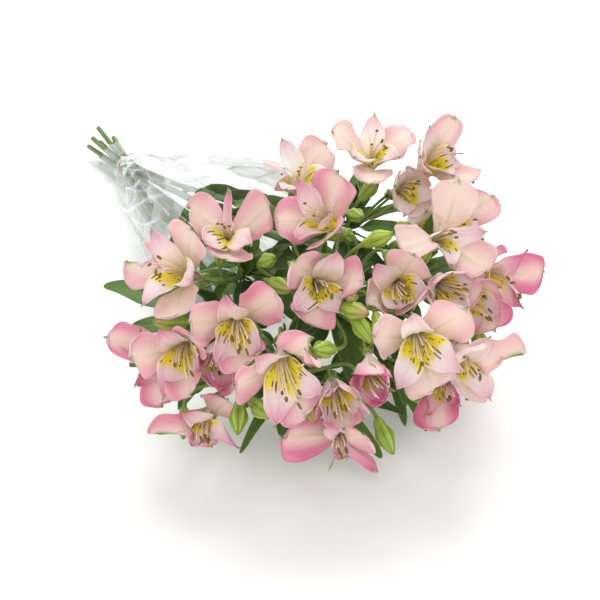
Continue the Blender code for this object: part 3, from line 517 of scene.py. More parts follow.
class Crowd:
    """All the growths' lines together. It tells how far a point is from its neighbours' room."""

    def __init__(self, growths):
        self.starts = np.vstack([growth.line[:-1] for growth in growths])
        self.ends = np.vstack([growth.line[1:] for growth in growths])
        self.start_room = np.concatenate([growth.room[:-1] for growth in growths])
        self.end_room = np.concatenate([growth.room[1:] for growth in growths])
        self.owner = np.concatenate([np.full(len(growth.line) - 1, n) for n, growth in enumerate(growths)])

    def nearest(self, points, chosen):
        """For each point and chosen line piece: the distance, the room there and the nearest place."""
        start = self.starts[chosen]
        run = self.ends[chosen] - start
        t = ((points[:, None] - start) * run).sum(-1) / (run * run).sum(-1)
        t = np.clip(t, 0, 1)
        place = start + t[..., None] * run
        distance = np.linalg.norm(points[:, None] - place, axis=-1)
        room = self.start_room[chosen] + t * (self.end_room - self.start_room)[chosen]
        return distance, room, place

    def own_place(self, points, number):
        distance, room, place = self.nearest(points, self.owner == number)
        best = distance.argmin(1)
        rows = np.arange(len(points))
        return distance[rows, best], room[rows, best], place[rows, best]

    def clearance(self, points, own_distance, own_room, chosen):
        """How far points are inside their own room, before the wall to the nearest neighbour's."""
        distance, room, _ = self.nearest(points, chosen)
        inside = (own_room[:, None] * distance - room * own_distance[:, None]) / (own_room[:, None] + room)
        return inside.min(1)

    def neighbours(self, points, number):
        middle = points.mean(0)
        reach = np.linalg.norm(points - middle, axis=1).max() + NEIGHBOUR_REACH
        distance, _, _ = self.nearest(middle[None], np.ones(len(self.owner), bool))
        return (self.owner != number) & (distance[0] < reach)


def give_way(distance, clear, soft):
    """A distance to a wall, changed smoothly so that it's never under clear. Past soft it isn't changed."""
    span = soft - clear
    pressed = clear + span * np.exp(np.minimum(distance - soft, 0) / span)
    return np.where(distance > soft, distance, pressed)


def overlap(points, number, crowd):
    """How deep a tepal's points reach into what stands beside it, or into the surface."""
    flat = points.reshape(-1, 3)
    own_distance, own_room, _ = crowd.own_place(flat, number)
    inside = crowd.clearance(flat, own_distance, own_room, crowd.neighbours(flat, number))
    return -min(inside.min(), flat[:, 2].min(), (SLEEVE_MOUTH_Y - flat[:, 1]).min())


def bend_clear(points, number, growth, crowd, clear=CLEAR):
    """Bends a growth's points towards its own line, clear of its neighbours, the sleeve and the surface."""
    shape = points.shape
    flat = points.reshape(-1, 3).copy()
    share = smooth_step(8 * MM, 24 * MM, np.linalg.norm(flat - growth.umbel, axis=1))
    flat[:, 1] = SLEEVE_MOUTH_Y - give_way(SLEEVE_MOUTH_Y - flat[:, 1], clear, SOFT)
    flat[:, 2] = give_way(flat[:, 2], clear - CLEAR + FLOOR_CLEAR, SOFT)
    own_distance, own_room, place = crowd.own_place(flat, number)
    chosen = crowd.neighbours(flat, number)
    wanted = give_way(crowd.clearance(flat, own_distance, own_room, chosen), clear, SOFT)
    low = np.full(len(flat), LEAST_KEEP)
    high = np.ones(len(flat))
    for _ in range(12):
        half = (low + high) / 2
        moved = place + half[:, None] * (flat - place)
        fits = crowd.clearance(moved, own_distance * half, own_room, chosen) >= wanted
        low = np.where(fits, half, low)
        high = np.where(fits, high, half)
    keep = 1 - share * (1 - low)
    flat = place + keep[:, None] * (flat - place)
    return flat.reshape(shape)


def tepal_half_width(kind, s):
    grow = smooth_step(0.12, kind["widest"], s)
    past = np.clip((s - kind["widest"]) / (1 - kind["widest"]), 0, 1)
    fall = (1 - past ** kind["blunt"]) ** kind["fall"]
    return (kind["claw"] + (kind["half_width"] - kind["claw"]) * grow) * fall


def tepal_points(kind, turn_deg, sweep_deg, open_share, draw, s, v):
    """A tepal's mid-surface in its bloom's own frame: the bloom faces +Z, and its top is towards +X."""
    sweep = (sweep_deg + draw.uniform(-SWEEP_SPREAD, SWEEP_SPREAD)) * smooth_step(0.1, 1, s)[:, None]
    turn = np.radians(turn_deg + sweep)
    length = kind["length"] * draw.uniform(*LENGTH_SPREAD)
    flare = kind["flare"] * open_share + draw.uniform(-FLARE_SPREAD, FLARE_SPREAD)
    twist = math.radians(draw.uniform(-TWIST_SPREAD, TWIST_SPREAD))
    phase = draw.uniform(0, 2 * math.pi)

    fine = np.linspace(0, 1, TEPAL_STEPS + 1)
    lean = np.radians(kind["claw_flare"] + (flare - kind["claw_flare"]) * smooth_step(0.05, 1.0, fine))
    out = THROAT_RADIUS * 0.72 + length * running_sum(np.sin(lean[1:])) / TEPAL_STEPS
    rise = 1.0 * MM + length * running_sum(np.cos(lean[1:])) / TEPAL_STEPS
    out_s, rise_s, lean_s = (np.interp(s, fine, values)[:, None] for values in (out, rise, lean))

    half_width = tepal_half_width(kind, s)[:, None]
    curl = (CLAW_CURL + (kind["curl"] - CLAW_CURL) * smooth_step(0.1, 0.7, s))[:, None]
    bend = half_width * v / curl
    sideways = curl * np.sin(bend)
    inwards = curl * (1 - np.cos(bend))
    wave = np.sin(2 * math.pi * 1.6 * s[:, None] + phase + 1.4 * np.sign(v))
    inwards = inwards + RIPPLE * smooth_step(0.35, 0.8, s)[:, None] * v ** 2 * wave
    roll = twist * s[:, None]
    across = sideways * np.cos(roll) - inwards * np.sin(roll)
    towards = sideways * np.sin(roll) + inwards * np.cos(roll)

    from_axis = out_s - np.cos(lean_s) * towards
    height = rise_s + np.sin(lean_s) * towards
    x = from_axis * np.cos(turn) - across * np.sin(turn)
    y = from_axis * np.sin(turn) + across * np.cos(turn)
    return np.stack([x, y, height], axis=-1)


def stamen_points(side, lift, length, count):
    """A stamen's path in its bloom's own frame. It dips to the lower side and turns up at its end."""
    start = np.array([0.6 * np.sign(side), 0.2 * side, 1.0]) * MM
    pull = np.array([-1, 0.5 * side, 0.35 * length]) * MM
    end_pull = np.array([-5 + lift, side, 0.75 * length]) * MM
    end = np.array([2 * lift, 1.5 * side, length]) * MM
    return bezier(start, pull, end_pull, end, count)


class BloomPlace:
    """Where a bloom sits: its base, the way it faces, and its own axes."""

    def __init__(self, growth, roll_deg):
        self.facing = growth.facing
        self.base = growth.tip - self.facing * BLOOM_DEPTH
        top = unit(BLOOM_TOP - self.facing * (BLOOM_TOP @ self.facing))
        side = np.cross(self.facing, top)
        roll = math.radians(roll_deg)
        self.top = math.cos(roll) * top + math.sin(roll) * side
        self.side = np.cross(self.facing, self.top)

    def to_bunch(self, points):
        return (self.base + points[..., :1] * self.top + points[..., 1:2] * self.side
                + points[..., 2:] * self.facing)


def fitted_open_share(kind, turn_deg, sweep_deg, open_share, seed, place, number, crowd):
    """How far a tepal opens: less than the bloom's own share where something stands in its way."""
    for lean_in in LEAN_IN:
        draw = np.random.default_rng(seed)
        local = tepal_points(kind, turn_deg, sweep_deg, open_share * lean_in, draw, FIT_ROWS, OUTER_COLUMNS)
        if overlap(place.to_bunch(local), number, crowd) < FIT_OVERLAP:
            break
    return open_share * lean_in


def leaf_points(start, tip, half_width, bow, up, s, v):
    """A leaf's mid-surface. Its base is half turned over, as this plant's leaves are."""
    path = leaf_line(start, tip, bow, up, LEAF_STEPS + 1)
    lift = unit(up - unit(tip - start) * (up @ unit(tip - start)))
    middle = at_shares(s, path)
    tangent = at_shares(s, np.gradient(path, axis=0))
    tangent /= np.linalg.norm(tangent, axis=1, keepdims=True)
    flat_side = np.cross(tangent, lift)
    flat_side /= np.linalg.norm(flat_side, axis=1, keepdims=True)
    face = np.cross(flat_side, tangent)
    turn = (math.pi * 0.42 * (1 - smooth_step(0.0, 0.35, s)))[:, None]
    side = np.cos(turn) * flat_side + np.sin(turn) * face
    fold = np.cos(turn) * face - np.sin(turn) * flat_side
    past = np.clip((s - 0.42) / 0.58, 0, 1)
    width = half_width * (0.16 + 0.84 * smooth_step(0.02, 0.42, s)) * np.sqrt(1 - past ** 1.8)
    across = (v * width[:, None])[..., None]
    return middle[:, None] + side[:, None] * across + fold[:, None] * LEAF_FOLD * np.abs(across)


# Fine shapes: grids of points, and what each point says about its place

def pattern(draw):
    """A random place in the noise patterns, so that no two parts look alike."""
    return draw.uniform(0, 50)


def rows_to_tip(count):
    """Shares along a blade, closer together towards its tip."""
    t = np.linspace(0, 1, count)
    return 1 - (1 - t) ** TIP_CROWDING


def grid_quads(rows, columns, wrap=False):
    index = np.arange(rows * columns).reshape(rows, columns)
    if wrap:
        index = np.column_stack([index, index[:, 0]])
    corners = (index[:-1, :-1], index[:-1, 1:], index[1:, 1:], index[1:, :-1])
    return np.stack(corners, axis=-1).reshape(-1, 4)


def units(vectors):
    return vectors / (np.linalg.norm(vectors, axis=-1, keepdims=True) + 1e-12)


def grid_normals(points):
    return units(np.cross(np.gradient(points, axis=1), np.gradient(points, axis=0)))


def even_out(moves, rounds):
    """Averages moves with those of their neighbours along a line or over a grid."""
    for _ in range(rounds):
        for axis in range(moves.ndim - 1):
            row = np.moveaxis(moves, axis, 0)
            padded = np.concatenate([row[:1], row, row[-1:]])
            moves = np.moveaxis((padded[:-2] + 2 * padded[1:-1] + padded[2:]) / 4, 0, axis)
    return moves


def smooth_path(points, count):
    """A smooth curve through points, by cubic pieces."""
    span = spans(points)
    slope = np.gradient(points, span, axis=0)
    marks = np.linspace(0, span[-1], count)
    piece = np.clip(np.searchsorted(span, marks, side="right") - 1, 0, len(points) - 2)
    length = (span[piece + 1] - span[piece])[:, None]
    t = (marks[:, None] - span[piece][:, None]) / length
    return ((2 * t ** 3 - 3 * t ** 2 + 1) * points[piece]
            + (t ** 3 - 2 * t ** 2 + t) * length * slope[piece]
            + (3 * t ** 2 - 2 * t ** 3) * points[piece + 1]
            + (t ** 3 - t ** 2) * length * slope[piece + 1])


class Piece:
    """A mesh in the making: closed blades and tubes, each with its own material."""

    def __init__(self, name, materials):
        self.name = name
        self.materials = materials
        self.count = 0
        self.points = []
        self.places = []
        self.traits = []
        self.faces = []
        self.slots = []
        self.smooth = []

    def add(self, points, place, traits):
        """Adds points. place is where on its surface each is, and traits are (side, tone, extra)."""
        first = self.count
        flat = points.reshape(-1, 3)
        self.points.append(flat)
        self.places.append(place.reshape(-1, 3))
        self.traits.append(np.broadcast_to(np.asarray(traits, float), flat.shape))
        self.count += len(flat)
        return first

    def cover(self, faces, material, smooth=True):
        self.faces.append(faces)
        self.slots.append(np.full(len(faces), self.materials.index(material)))
        self.smooth.append(np.full(len(faces), smooth))

    def blade(self, points, s, v, material, thickness, tone, extra, seed):
        """A closed sheet round a mid-surface, with a front, a back and a flat rim."""
        place = np.stack(np.broadcast_arrays(v, s[:, None], seed), axis=-1)
        offset = grid_normals(points) * (thickness / 2 * (1 - EDGE_THINNING * v ** 4))[..., None]
        front = self.add(points + offset, place, (1, tone, extra))
        back = self.add(points - offset, place, (0, tone, extra))
        index = np.arange(back - front).reshape(points.shape[:2])
        quads = grid_quads(*index.shape)
        self.cover(front + quads, material)
        self.cover(back + quads[:, ::-1], material)
        loop = np.concatenate([index[0, :-1], index[:-1, -1], index[-1, :0:-1], index[:0:-1, 0]])
        after = np.roll(loop, -1)
        rim = np.column_stack([front + after, front + loop, back + loop, back + after])
        self.cover(rim, material, smooth=False)

    def tube(self, path, radii, material, sides, tone=0.5, extra=0.0, seed=0.0, rib_count=0, rib_depth=0.0,
             end_material=None):
        """A round piece along a path. Its ribs stand out by rib_depth, as a share of the radius."""
        slope = np.gradient(path, axis=0)
        slope /= np.linalg.norm(slope, axis=1, keepdims=True)
        side = unit(np.cross(slope[0], [0.3, 0.5, 0.8]))
        sideways = []
        for tangent in slope:
            side = unit(side - tangent * (side @ tangent))
            sideways.append(side)
        sideways = np.array(sideways)
        upwards = np.cross(slope, sideways)
        turn = np.linspace(0, 2 * math.pi, sides, endpoint=False)
        swell = 1 + np.broadcast_to(rib_depth, len(path))[:, None] * np.cos(rib_count * turn)
        reach = np.asarray(radii)[:, None] * swell
        rings = (path[:, None] + sideways[:, None] * (reach * np.cos(turn))[..., None]
                 + upwards[:, None] * (reach * np.sin(turn))[..., None])
        span = spans(path)
        share = (span / span[-1])[:, None]
        place = np.stack(np.broadcast_arrays(turn / math.pi - 1, share, seed), axis=-1)
        first = self.add(rings, place, (1, tone, extra))
        self.cover(first + grid_quads(len(path), sides, wrap=True)[:, ::-1], material)
        cap = np.arange(sides)[None]
        self.cover(first + cap, end_material or material, smooth=False)
        self.cover(first + (len(path) - 1) * sides + cap[:, ::-1], material, smooth=False)

    def build(self):
        mesh = bpy.data.meshes.new(self.name)
        faces = [face for block in self.faces for face in block.tolist()]
        mesh.from_pydata((np.vstack(self.points) + MOVE).tolist(), [], faces)
        mesh.polygons.foreach_set("material_index", np.concatenate(self.slots).astype(np.int32))
        mesh.polygons.foreach_set("use_smooth", np.concatenate(self.smooth))
        for name, rows in (("place", self.places), ("traits", self.traits)):
            layer = mesh.attributes.new(name, "FLOAT_VECTOR", "POINT")
            layer.data.foreach_set("vector", np.vstack(rows).reshape(-1).astype(np.float32))
        mesh.validate()
        for material in self.materials:
            mesh.materials.append(bpy.data.materials[material])
        piece = bpy.data.objects.new(self.name, mesh)
        bpy.context.scene.collection.objects.link(piece)
        return piece


# Materials

def srgb(*colour):
    """A colour as it looks on a screen, 0 to 255, as the shader's own linear values."""
    shares = np.array(colour) / 255
    linear = np.where(shares <= 0.04045, shares / 12.92, ((shares + 0.055) / 1.055) ** 2.4)
    return (*linear.tolist(), 1.0)


class Value:
    """What a node gives, for sums that are written with plain signs."""

    def __init__(self, paint, socket):
        self.paint = paint
        self.socket = socket

    def __add__(self, other):
        return self.paint.maths("ADD", self, other)

    def __sub__(self, other):
        return self.paint.maths("SUBTRACT", self, other)

    def __rsub__(self, other):
        return self.paint.maths("SUBTRACT", other, self)

    def __mul__(self, other):
        return self.paint.maths("MULTIPLY", self, other)

    def __abs__(self):
        return self.paint.maths("ABSOLUTE", self)

    __radd__ = __add__
    __rmul__ = __mul__

    def clamped(self):
        """The same value, kept from 0 to 1."""
        self.socket.node.use_clamp = True
        return self

    def step(self, low, high):
        """0 on low's side, 1 on high's side, and smooth in between."""
        inputs = {0: self, 1: min(low, high), 2: max(low, high), 3: float(low > high), 4: float(low < high)}
        return self.paint.node("MapRange", inputs, interpolation_type="SMOOTHSTEP")

    def twin(self, output):
        """Another value of the same node."""
        return Value(self.paint, self.socket.node.outputs[output])


class Paint:
    """A material's nodes, with short ways to add and to link them."""

    def __init__(self, name):
        self.material = bpy.data.materials.new(name)
        self.material.use_nodes = True
        self.tree = self.material.node_tree
        self.shader = Value(self, self.tree.nodes["Principled BSDF"].outputs[0])

    def node(self, kind, inputs=(), output=0, **settings):
        """Adds a node, feeds its inputs and gives one of its values."""
        made = self.tree.nodes.new("ShaderNode" + kind)
        for name, value in settings.items():
            setattr(made, name, value)
        for name, value in dict(inputs).items():
            self.feed(made.inputs[name], value)
        return Value(self, made.outputs[output])

    def feed(self, socket, value):
        """Sets an input. A tuple is a colour, 0 to 255, where a colour goes, and a place elsewhere."""
        if isinstance(value, tuple):
            value = srgb(*value) if socket.type == "RGBA" else self.node("CombineXYZ", enumerate(value))
        if isinstance(value, Value):
            self.tree.links.new(value.socket, socket)
        else:
            socket.default_value = value

    def maths(self, operation, first, second=0.0):
        return self.node("Math", {0: first, 1: second}, operation=operation)

    def larger(self, first, second):
        return self.maths("MAXIMUM", first, second)

    def mix(self, share, first, second):
        return self.node("Mix", {0: share, 6: first, 7: second}, 2, data_type="RGBA")

    def coats(self, colour, *coats):
        """Lays colours over the first one, each with its own share."""
        for share, coat in coats:
            colour = self.mix(share, colour, coat)
        return colour

    def noise(self, place, detail=2.0, roughness=0.5, scale=1.0):
        inputs = {"Vector": place, "Scale": scale, "Detail": detail, "Roughness": roughness}
        return self.node("TexNoise", inputs)

    def position(self):
        return self.node("NewGeometry", output="Position")

    def split(self, value, kind="XYZ"):
        first = self.node("Separate" + kind, {0: value})
        return [first.twin(index) for index in range(3)]

    def parts(self, name):
        return self.split(self.node("Attribute", output="Vector", attribute_name=name))

    def bump(self, height, strength, distance):
        return self.node("Bump", {"Height": height, "Strength": strength, "Distance": distance})

    def finish(self, colour, roughness, shine=0.5, normal=None, glow=None, glow_share=0.0, sheen=0.0):
        """Sets the shader. glow is the colour that light takes on through the thin surface."""
        inputs = {"Base Color": colour, "Roughness": roughness, "Specular IOR Level": shine,
                  "Sheen Weight": sheen}
        relief = {} if normal is None else {"Normal": normal}
        for name, value in {**inputs, **relief}.items():
            self.feed(self.shader.socket.node.inputs[name], value)
        if glow is not None:
            self.blend(glow_share, self.shader, self.node("BsdfTranslucent", {"Color": glow, **relief}))

    def blend(self, share, first, second):
        """Makes the surface of two shaders. share is the second one's part of it."""
        both = self.node("MixShader", {0: share, 1: first, 2: second})
        self.feed(self.tree.nodes["Material Output"].inputs["Surface"], both)


def petal_veins(paint, v, s, seed):
    """Fine streaks that run along a tepal, and finer ribs for its relief."""
    sway = paint.noise((v * 1.5, s * 2.5, seed), 1)
    v_swayed = v + (sway - 0.5) * 0.12
    streak = paint.noise((v_swayed * 14, s * 1.6, seed), 4, 0.7)
    return streak, paint.maths("SINE", v_swayed * 62)


def finish_petal(paint, colour, streak, ribs, paleness, light, glow_share):
    normal = paint.bump(ribs + streak * 1.5, 0.22, 0.0002)
    paint.finish(colour, 0.42, 0.35, normal, paint.mix(paleness, colour, light), glow_share, sheen=0.12)


def outer_tepal_paint():
    paint = Paint("tepal_outer")
    v, s, seed = paint.parts("place")
    side, tone, _ = paint.parts("traits")
    streak, ribs = petal_veins(paint, v, s, seed)
    edge = abs(v)
    back = 1 - side
    shoulder = s.step(0.15, 0.7) * (0.12 + edge.step(0.05, 0.85) * 0.88)
    blush = s.step(0.5, 1) * (0.25 + edge.step(0.2, 1) * 0.75)
    cloud = paint.noise((v * 1.2, s * 2.2, seed + 7))
    pink = (shoulder * back + blush * side * 0.55) * (0.12 + tone * 1.15) + tone * 0.12
    pink = (pink * (0.4 + cloud * 1.2) * (0.7 + streak * 0.6)).clamped()
    colour = paint.coats(
        paint.mix(side, (246, 226, 214), (253, 240, 236)),
        (s.step(0.55, 0) * 0.65, (232, 222, 178)),
        (pink, (220, 98, 148)),
        (edge.step(0.16, 0) * s.step(1, 0.35) * (0.2 + back * 0.5), (192, 190, 120)),
        (s.step(0.93, 0.985) * edge.step(0.34, 0.06), (140, 172, 72)),
        (ribs.step(0.5, 1) * (0.02 + tone * 0.08), (190, 96, 128)))
    finish_petal(paint, colour, streak, ribs, 0.55, (255, 250, 246), 0.34)


def guide_dashes(paint, v, s, seed, edge):
    """Thin dark dashes that fan out over a guide tepal, each lane with its own starts and lengths."""
    dashes = 0.0
    for lanes, shift, first, spread in ((5.6, 0.0, 0.25, 0.17), (4.3, 0.37, 0.42, 0.18)):
        sway = paint.noise((v * 2, s * 4, seed), 1)
        lane = v * lanes + (shift + sway * 0.5)
        index = paint.maths("ROUND", lane)
        drawn = paint.node("TexWhiteNoise", {"Vector": (index, shift, seed * 3.1)}, "Color")
        begin, reach, there = paint.split(drawn, "Color")
        start = first + begin * spread
        length = 0.035 + reach * reach * 0.15
        ends = (s - start).step(0, 0.012) * (start + length - s).step(0, 0.02)
        line = abs(lane - index).step(0.27, 0.16) * there.step(0.18, 0.22)
        dashes = paint.larger(dashes, line * ends)
    specks = paint.noise((v * 15, s * 34, seed), 1)
    throat = specks.step(0.6, 0.66) * s.step(0.34, 0.26)
    return paint.larger(dashes, throat) * edge.step(0.95, 0.84)


def inner_tepal_paint():
    """The third trait is how strongly the tepal is marked: 1 on the upper pair."""
    paint = Paint("tepal_inner")
    v, s, seed = paint.parts("place")
    side, tone, marked = paint.parts("traits")
    streak, ribs = petal_veins(paint, v, s, seed)
    edge = abs(v)
    pink = s.step(0.66, 1) * (0.35 + tone * 0.7) * (0.3 + streak * 1.2)
    pink = (pink + tone * (1 - side) * 0.5 + tone * 0.08).clamped()
    s_rough = s + (streak - 0.5) * 0.22
    s_round = s_rough - edge * edge * 0.1
    yellow = s_rough.step(0.2, 0.32) * s_round.step(0.66, 0.53) * (edge.step(1, 0.86) * marked)
    dark = guide_dashes(paint, v, s, seed, edge) * marked.step(0.3, 0.9)
    colour = paint.coats(
        paint.mix(pink, (253, 247, 244), (218, 108, 150)),
        (yellow, (255, 240, 70)),
        (s_rough.step(0.28, 0.12) * (0.2 + marked * 0.35), (150, 104, 84)),
        (dark * 0.93, (66, 20, 26)),
        (streak.step(0.52, 0.72) * s.step(0.5, 0.9) * 0.45, (222, 104, 146)),
        (s.step(0.93, 0.99) * edge.step(0.9, 0.3) * 0.85, (158, 180, 86)))
    finish_petal(paint, colour, streak, ribs, 0.4, (255, 250, 240), 0.32)


def filament_paint():
    paint = Paint("filament")
    _, s, seed = paint.parts("place")
    blotch = paint.noise((0.0, s * 6, seed))
    colour = paint.mix(s.step(0.35, 1), (240, 232, 196), (246, 226, 212))
    colour = paint.mix(blotch * 0.2, colour, (226, 170, 170))
    paint.finish(colour, 0.4, 0.4, glow=colour, glow_share=0.2)


def anther_paint():
    paint = Paint("anther")
    v, s, seed = paint.parts("place")
    grain = paint.noise((v * 8, s * 14, seed), 4)
    colour = paint.mix(grain.step(0.35, 0.65), (84, 66, 34), (150, 128, 70))
    colour = paint.mix(abs(v).step(0.12, 0) * 0.7, colour, (58, 40, 24))
    paint.finish(colour, 0.75, 0.2, paint.bump(grain, 0.5, 0.0004))


def leaf_paint():
    """tone runs from dark old leaves at 0 to yellow-green young ones at 1. The leaves deep in the head and
    inside the sleeve take dark tones that are partly painted shade.
    """
    paint = Paint("leaf")
    v, s, seed = paint.parts("place")
    side, tone, _ = paint.parts("traits")
    blotch = paint.noise((v * 1.4, s * 5, seed), 4, 0.6)
    sway = v + (blotch - 0.5) * 0.05
    veins = paint.maths("SINE", sway * 32)
    fine = paint.noise((sway * 26, s * 3, seed))
    edge = abs(v)
    top = paint.mix(tone.step(0, 0.5), (48, 74, 30), (92, 128, 44))
    top = paint.mix(tone.step(0.5, 1), top, (150, 182, 72))
    under = paint.mix(tone, (92, 118, 66), (164, 188, 98))
    colour = paint.coats(
        paint.mix(side, under, top),
        (blotch.step(0.35, 0.75) * 0.3, (66, 96, 30)),
        (veins.step(0.55, 1) * 0.22, (140, 164, 82)),
        (fine * 0.16, (40, 62, 22)),
        (edge.step(0.07, 0) * 0.5, (132, 158, 80)),
        (edge.step(0.92, 1) * 0.35, (168, 186, 112)),
        (s.step(0.94, 1) * 0.4, (120, 120, 58)))
    normal = paint.bump(veins + fine * 1.2, 0.35, 0.0003)
    paint.finish(colour, 0.38, 0.45, normal, paint.mix(0.5, colour, (150, 190, 40)), 0.22)


def stem_paint():
    paint = Paint("stem")
    v, s, seed = paint.parts("place")
    _, tone, _ = paint.parts("traits")
    lines = paint.noise((v * 7, s * 3, seed), 3, 0.6)
    blotch = paint.noise((v, s * 9, seed), 3)
    colour = paint.mix(tone, (74, 104, 42), (150, 172, 84))
    colour = paint.mix(lines.step(0.4, 0.7) * 0.35, colour, (72, 98, 40))
    colour = paint.mix(blotch.step(0.5, 0.75) * 0.3, colour, (176, 186, 118))
    paint.finish(colour, 0.4, 0.45, paint.bump(lines, 0.3, 0.0003))


def cut_paint():
    paint = Paint("cut_end")
    grain = paint.noise(paint.position(), 3, scale=1800)
    colour = paint.mix(grain.step(0.35, 0.65), (150, 164, 104), (206, 212, 168))
    paint.finish(colour, 0.55, normal=paint.bump(grain, 0.5, 0.0004))


def ribbed_paint(name, valley, rib, young, tip_colour):
    """Buds and ovaries: pale ribs on a darker ground. tone makes them more yellow."""
    paint = Paint(name)
    v, s, seed = paint.parts("place")
    _, tone, blush = paint.parts("traits")
    wave = paint.maths("COSINE", v * (math.pi * RIBS))
    fine = paint.noise((v * 16, s * 1.6, seed), 3, 0.6)
    colour = paint.coats(
        paint.mix(tone, valley, young),
        (wave.step(0.2, 1) * 0.75, rib),
        (fine.step(0.45, 0.7) * 0.4, valley),
        (wave.step(-0.86, -1) * s.step(0.3, 0.5) * 0.7, (62, 78, 26)),
        (s.step(0.5, 0.95) * blush * (0.3 + fine), (206, 108, 132)),
        (s.step(0.9, 1) * 0.8, tip_colour))
    normal = paint.bump(wave * 1.5 + fine, 0.3, 0.0004)
    paint.finish(colour, 0.4, 0.4, normal, colour, 0.12)


def film_facets(paint, position, cells):
    """Flat patches between creases: two random shares for each patch, the first for its painted grey shade
    and the second for its haze, and the line round it, which the film paints as a highlight.
    """
    x, y, z = paint.split(position)
    slant = y * 0.22 + x * 0.3
    sway = paint.noise(position, scale=14) * (1.2 / cells)
    spot = {"Vector": ((x + sway) * cells, (slant + sway) * cells, z * cells), "Scale": 1}
    patch = paint.node("TexVoronoi", spot, "Distance")
    border = paint.node("TexVoronoi", spot, "Distance", feature="DISTANCE_TO_EDGE")
    painted_shade, cover, _ = paint.split(patch.twin("Color"), "Color")
    broken = paint.noise(position, scale=0.45 * cells).step(0.47, 0.62)
    return painted_shade, cover, border.step(0.045, 0.005) * broken, patch


def film_paint():
    """Clear film: flat facets, each with its own painted grey shade and haze, and crease lines round them
    that are painted white as highlights where the tone is high.
    """
    paint = Paint("sleeve_film")
    _, tone, crease = paint.parts("traits")
    facing = paint.node("LayerWeight", {"Blend": 0.35}, "Facing")
    position = paint.position()
    painted_shade, cover, line, height = film_facets(paint, position, 27)
    fine_painted_shade, fine_cover, fine_highlight_line, fine_height = film_facets(paint, position, 62)
    wrinkle = paint.noise(position, 5, 0.7, scale=160)
    lines = paint.larger(line, paint.larger(fine_highlight_line * 0.4, crease))
    share = FILM_HAZE + facing * 0.16 + cover.step(0.5, 0.8) * FILM_FACETS
    share = (share + fine_cover.step(0.55, 0.9) * (FILM_FACETS * 0.55) + lines * 0.42).clamped()
    # Painted shade: the facets are coloured from grey to near white
    painted_grey = painted_shade * 0.55 + fine_painted_shade * 0.45
    colour = paint.mix(painted_grey.step(0.25, 0.7), (182, 190, 188), (252, 254, 254))
    # Painted highlights: the crease lines turn white where the tone is high
    colour = paint.mix(lines * tone.step(0.35, 0.6), colour, (255, 255, 255))
    relief = height * 2.5 + fine_height + wrinkle * 0.4
    paint.finish(colour, 0.12, 0.95, paint.bump(relief, 0.6, 0.003))
    paint.blend(share, paint.node("BsdfTransparent", {"Color": (250, 252, 251)}), paint.shader)


def band_paint():
    paint = Paint("elastic_band")
    position = paint.position()
    stretch = paint.noise(position, 3, scale=160)
    colour = paint.mix(stretch, (196, 164, 112), (222, 196, 148))
    paint.finish(colour, 0.6, normal=paint.bump(paint.noise(position, 3, scale=900), 0.4, 0.0003))
    return paint.material


def make_paints():
    for make_paint in (outer_tepal_paint, inner_tepal_paint, filament_paint, anther_paint, leaf_paint,
                       stem_paint, cut_paint, film_paint):
        make_paint()
    ribbed_paint("bud", (128, 156, 52), (186, 204, 98), (182, 206, 84), (96, 116, 44))
    ribbed_paint("ovary", (86, 118, 44), (176, 192, 106), (142, 170, 70), (120, 142, 60))


# Blooms

def pointed(points, s, v, kind):
    """Draws a tepal's tip out into the small point that it ends in."""
    reach = kind["point"] * np.exp(-(v / POINT_WIDTH) ** 2) * smooth_step(0.86, 1.0, s)[:, None]
    return points + units(np.gradient(points, axis=0)) * reach[..., None]


def ruffled(points, s, v, kind, draw):
    """Waves a tepal's edges and sinks its midline a little."""
    phase = draw.uniform(0, 2 * math.pi, 2)
    s = s[:, None]
    wave = np.sin(2 * math.pi * 2.6 * s + phase[0] + 1.3 * v) + 0.5 * np.sin(13 * s * v + phase[1])
    edge = RUFFLE * kind["half_width"] * np.abs(v) ** 2.5 * smooth_step(0.3, 0.75, s) * wave
    keel = -KEEL * np.exp(-(v / 0.16) ** 2) * smooth_step(0.1, 0.4, s)
    return points + grid_normals(points) * (edge + keel)[..., None]


def settle(points, number, growth, crowd, clear=PETAL_CLEAR):
    """Bends points clear of the neighbours in soft curves, without kinks."""
    cleared = bend_clear(points, number, growth, crowd, clear)
    return points + even_out(cleared - points, SETTLE_ROUNDS)


def widened(points, wanted):
    """Gives a tepal that its neighbours squeezed to a strip most of its own width back."""
    spread = np.linalg.norm(points[:, -1] - points[:, 0], axis=-1).max()
    whole = np.linalg.norm(wanted[:, -1] - wanted[:, 0], axis=-1).max()
    if spread > NARROWEST * whole:
        return points
    middle = points.shape[1] // 2
    return points[:, middle:middle + 1] + (wanted - wanted[:, middle:middle + 1]) * WIDTH_GIVEN_BACK


def add_tepals(piece, number, place, growth, crowd, draw):
    s = rows_to_tip(TEPAL_ROWS)
    v = np.linspace(-1, 1, TEPAL_COLUMNS)[None]
    for tepal_number, (kind, *turns) in enumerate(TEPALS):
        seed = [SEED, number, tepal_number]
        share = fitted_open_share(kind, *turns, BLOOMS[number][3], seed, place, number, crowd)
        fine_kind = dict(kind, claw=kind["claw"] * CLAW_SCALE)
        local = tepal_points(fine_kind, *turns, share, np.random.default_rng(seed), s, v)
        wanted = place.to_bunch(ruffled(pointed(local, s, v, kind), s, v, kind, draw))
        points = widened(settle(wanted, number, growth, crowd), wanted)
        material = "tepal_outer" if kind is OUTER else "tepal_inner"
        # The bloom's tone carries painted shade as well as its own pink: low blooms deeper, top ones paler
        tone = np.clip(BLOOM_PINK_AND_SHADE[number] + draw.uniform(-TONE_SPREAD, TONE_SPREAD), 0, 1)
        piece.blade(points, s, v, material, PETAL_THICKNESS, tone, kind["marked"], pattern(draw))


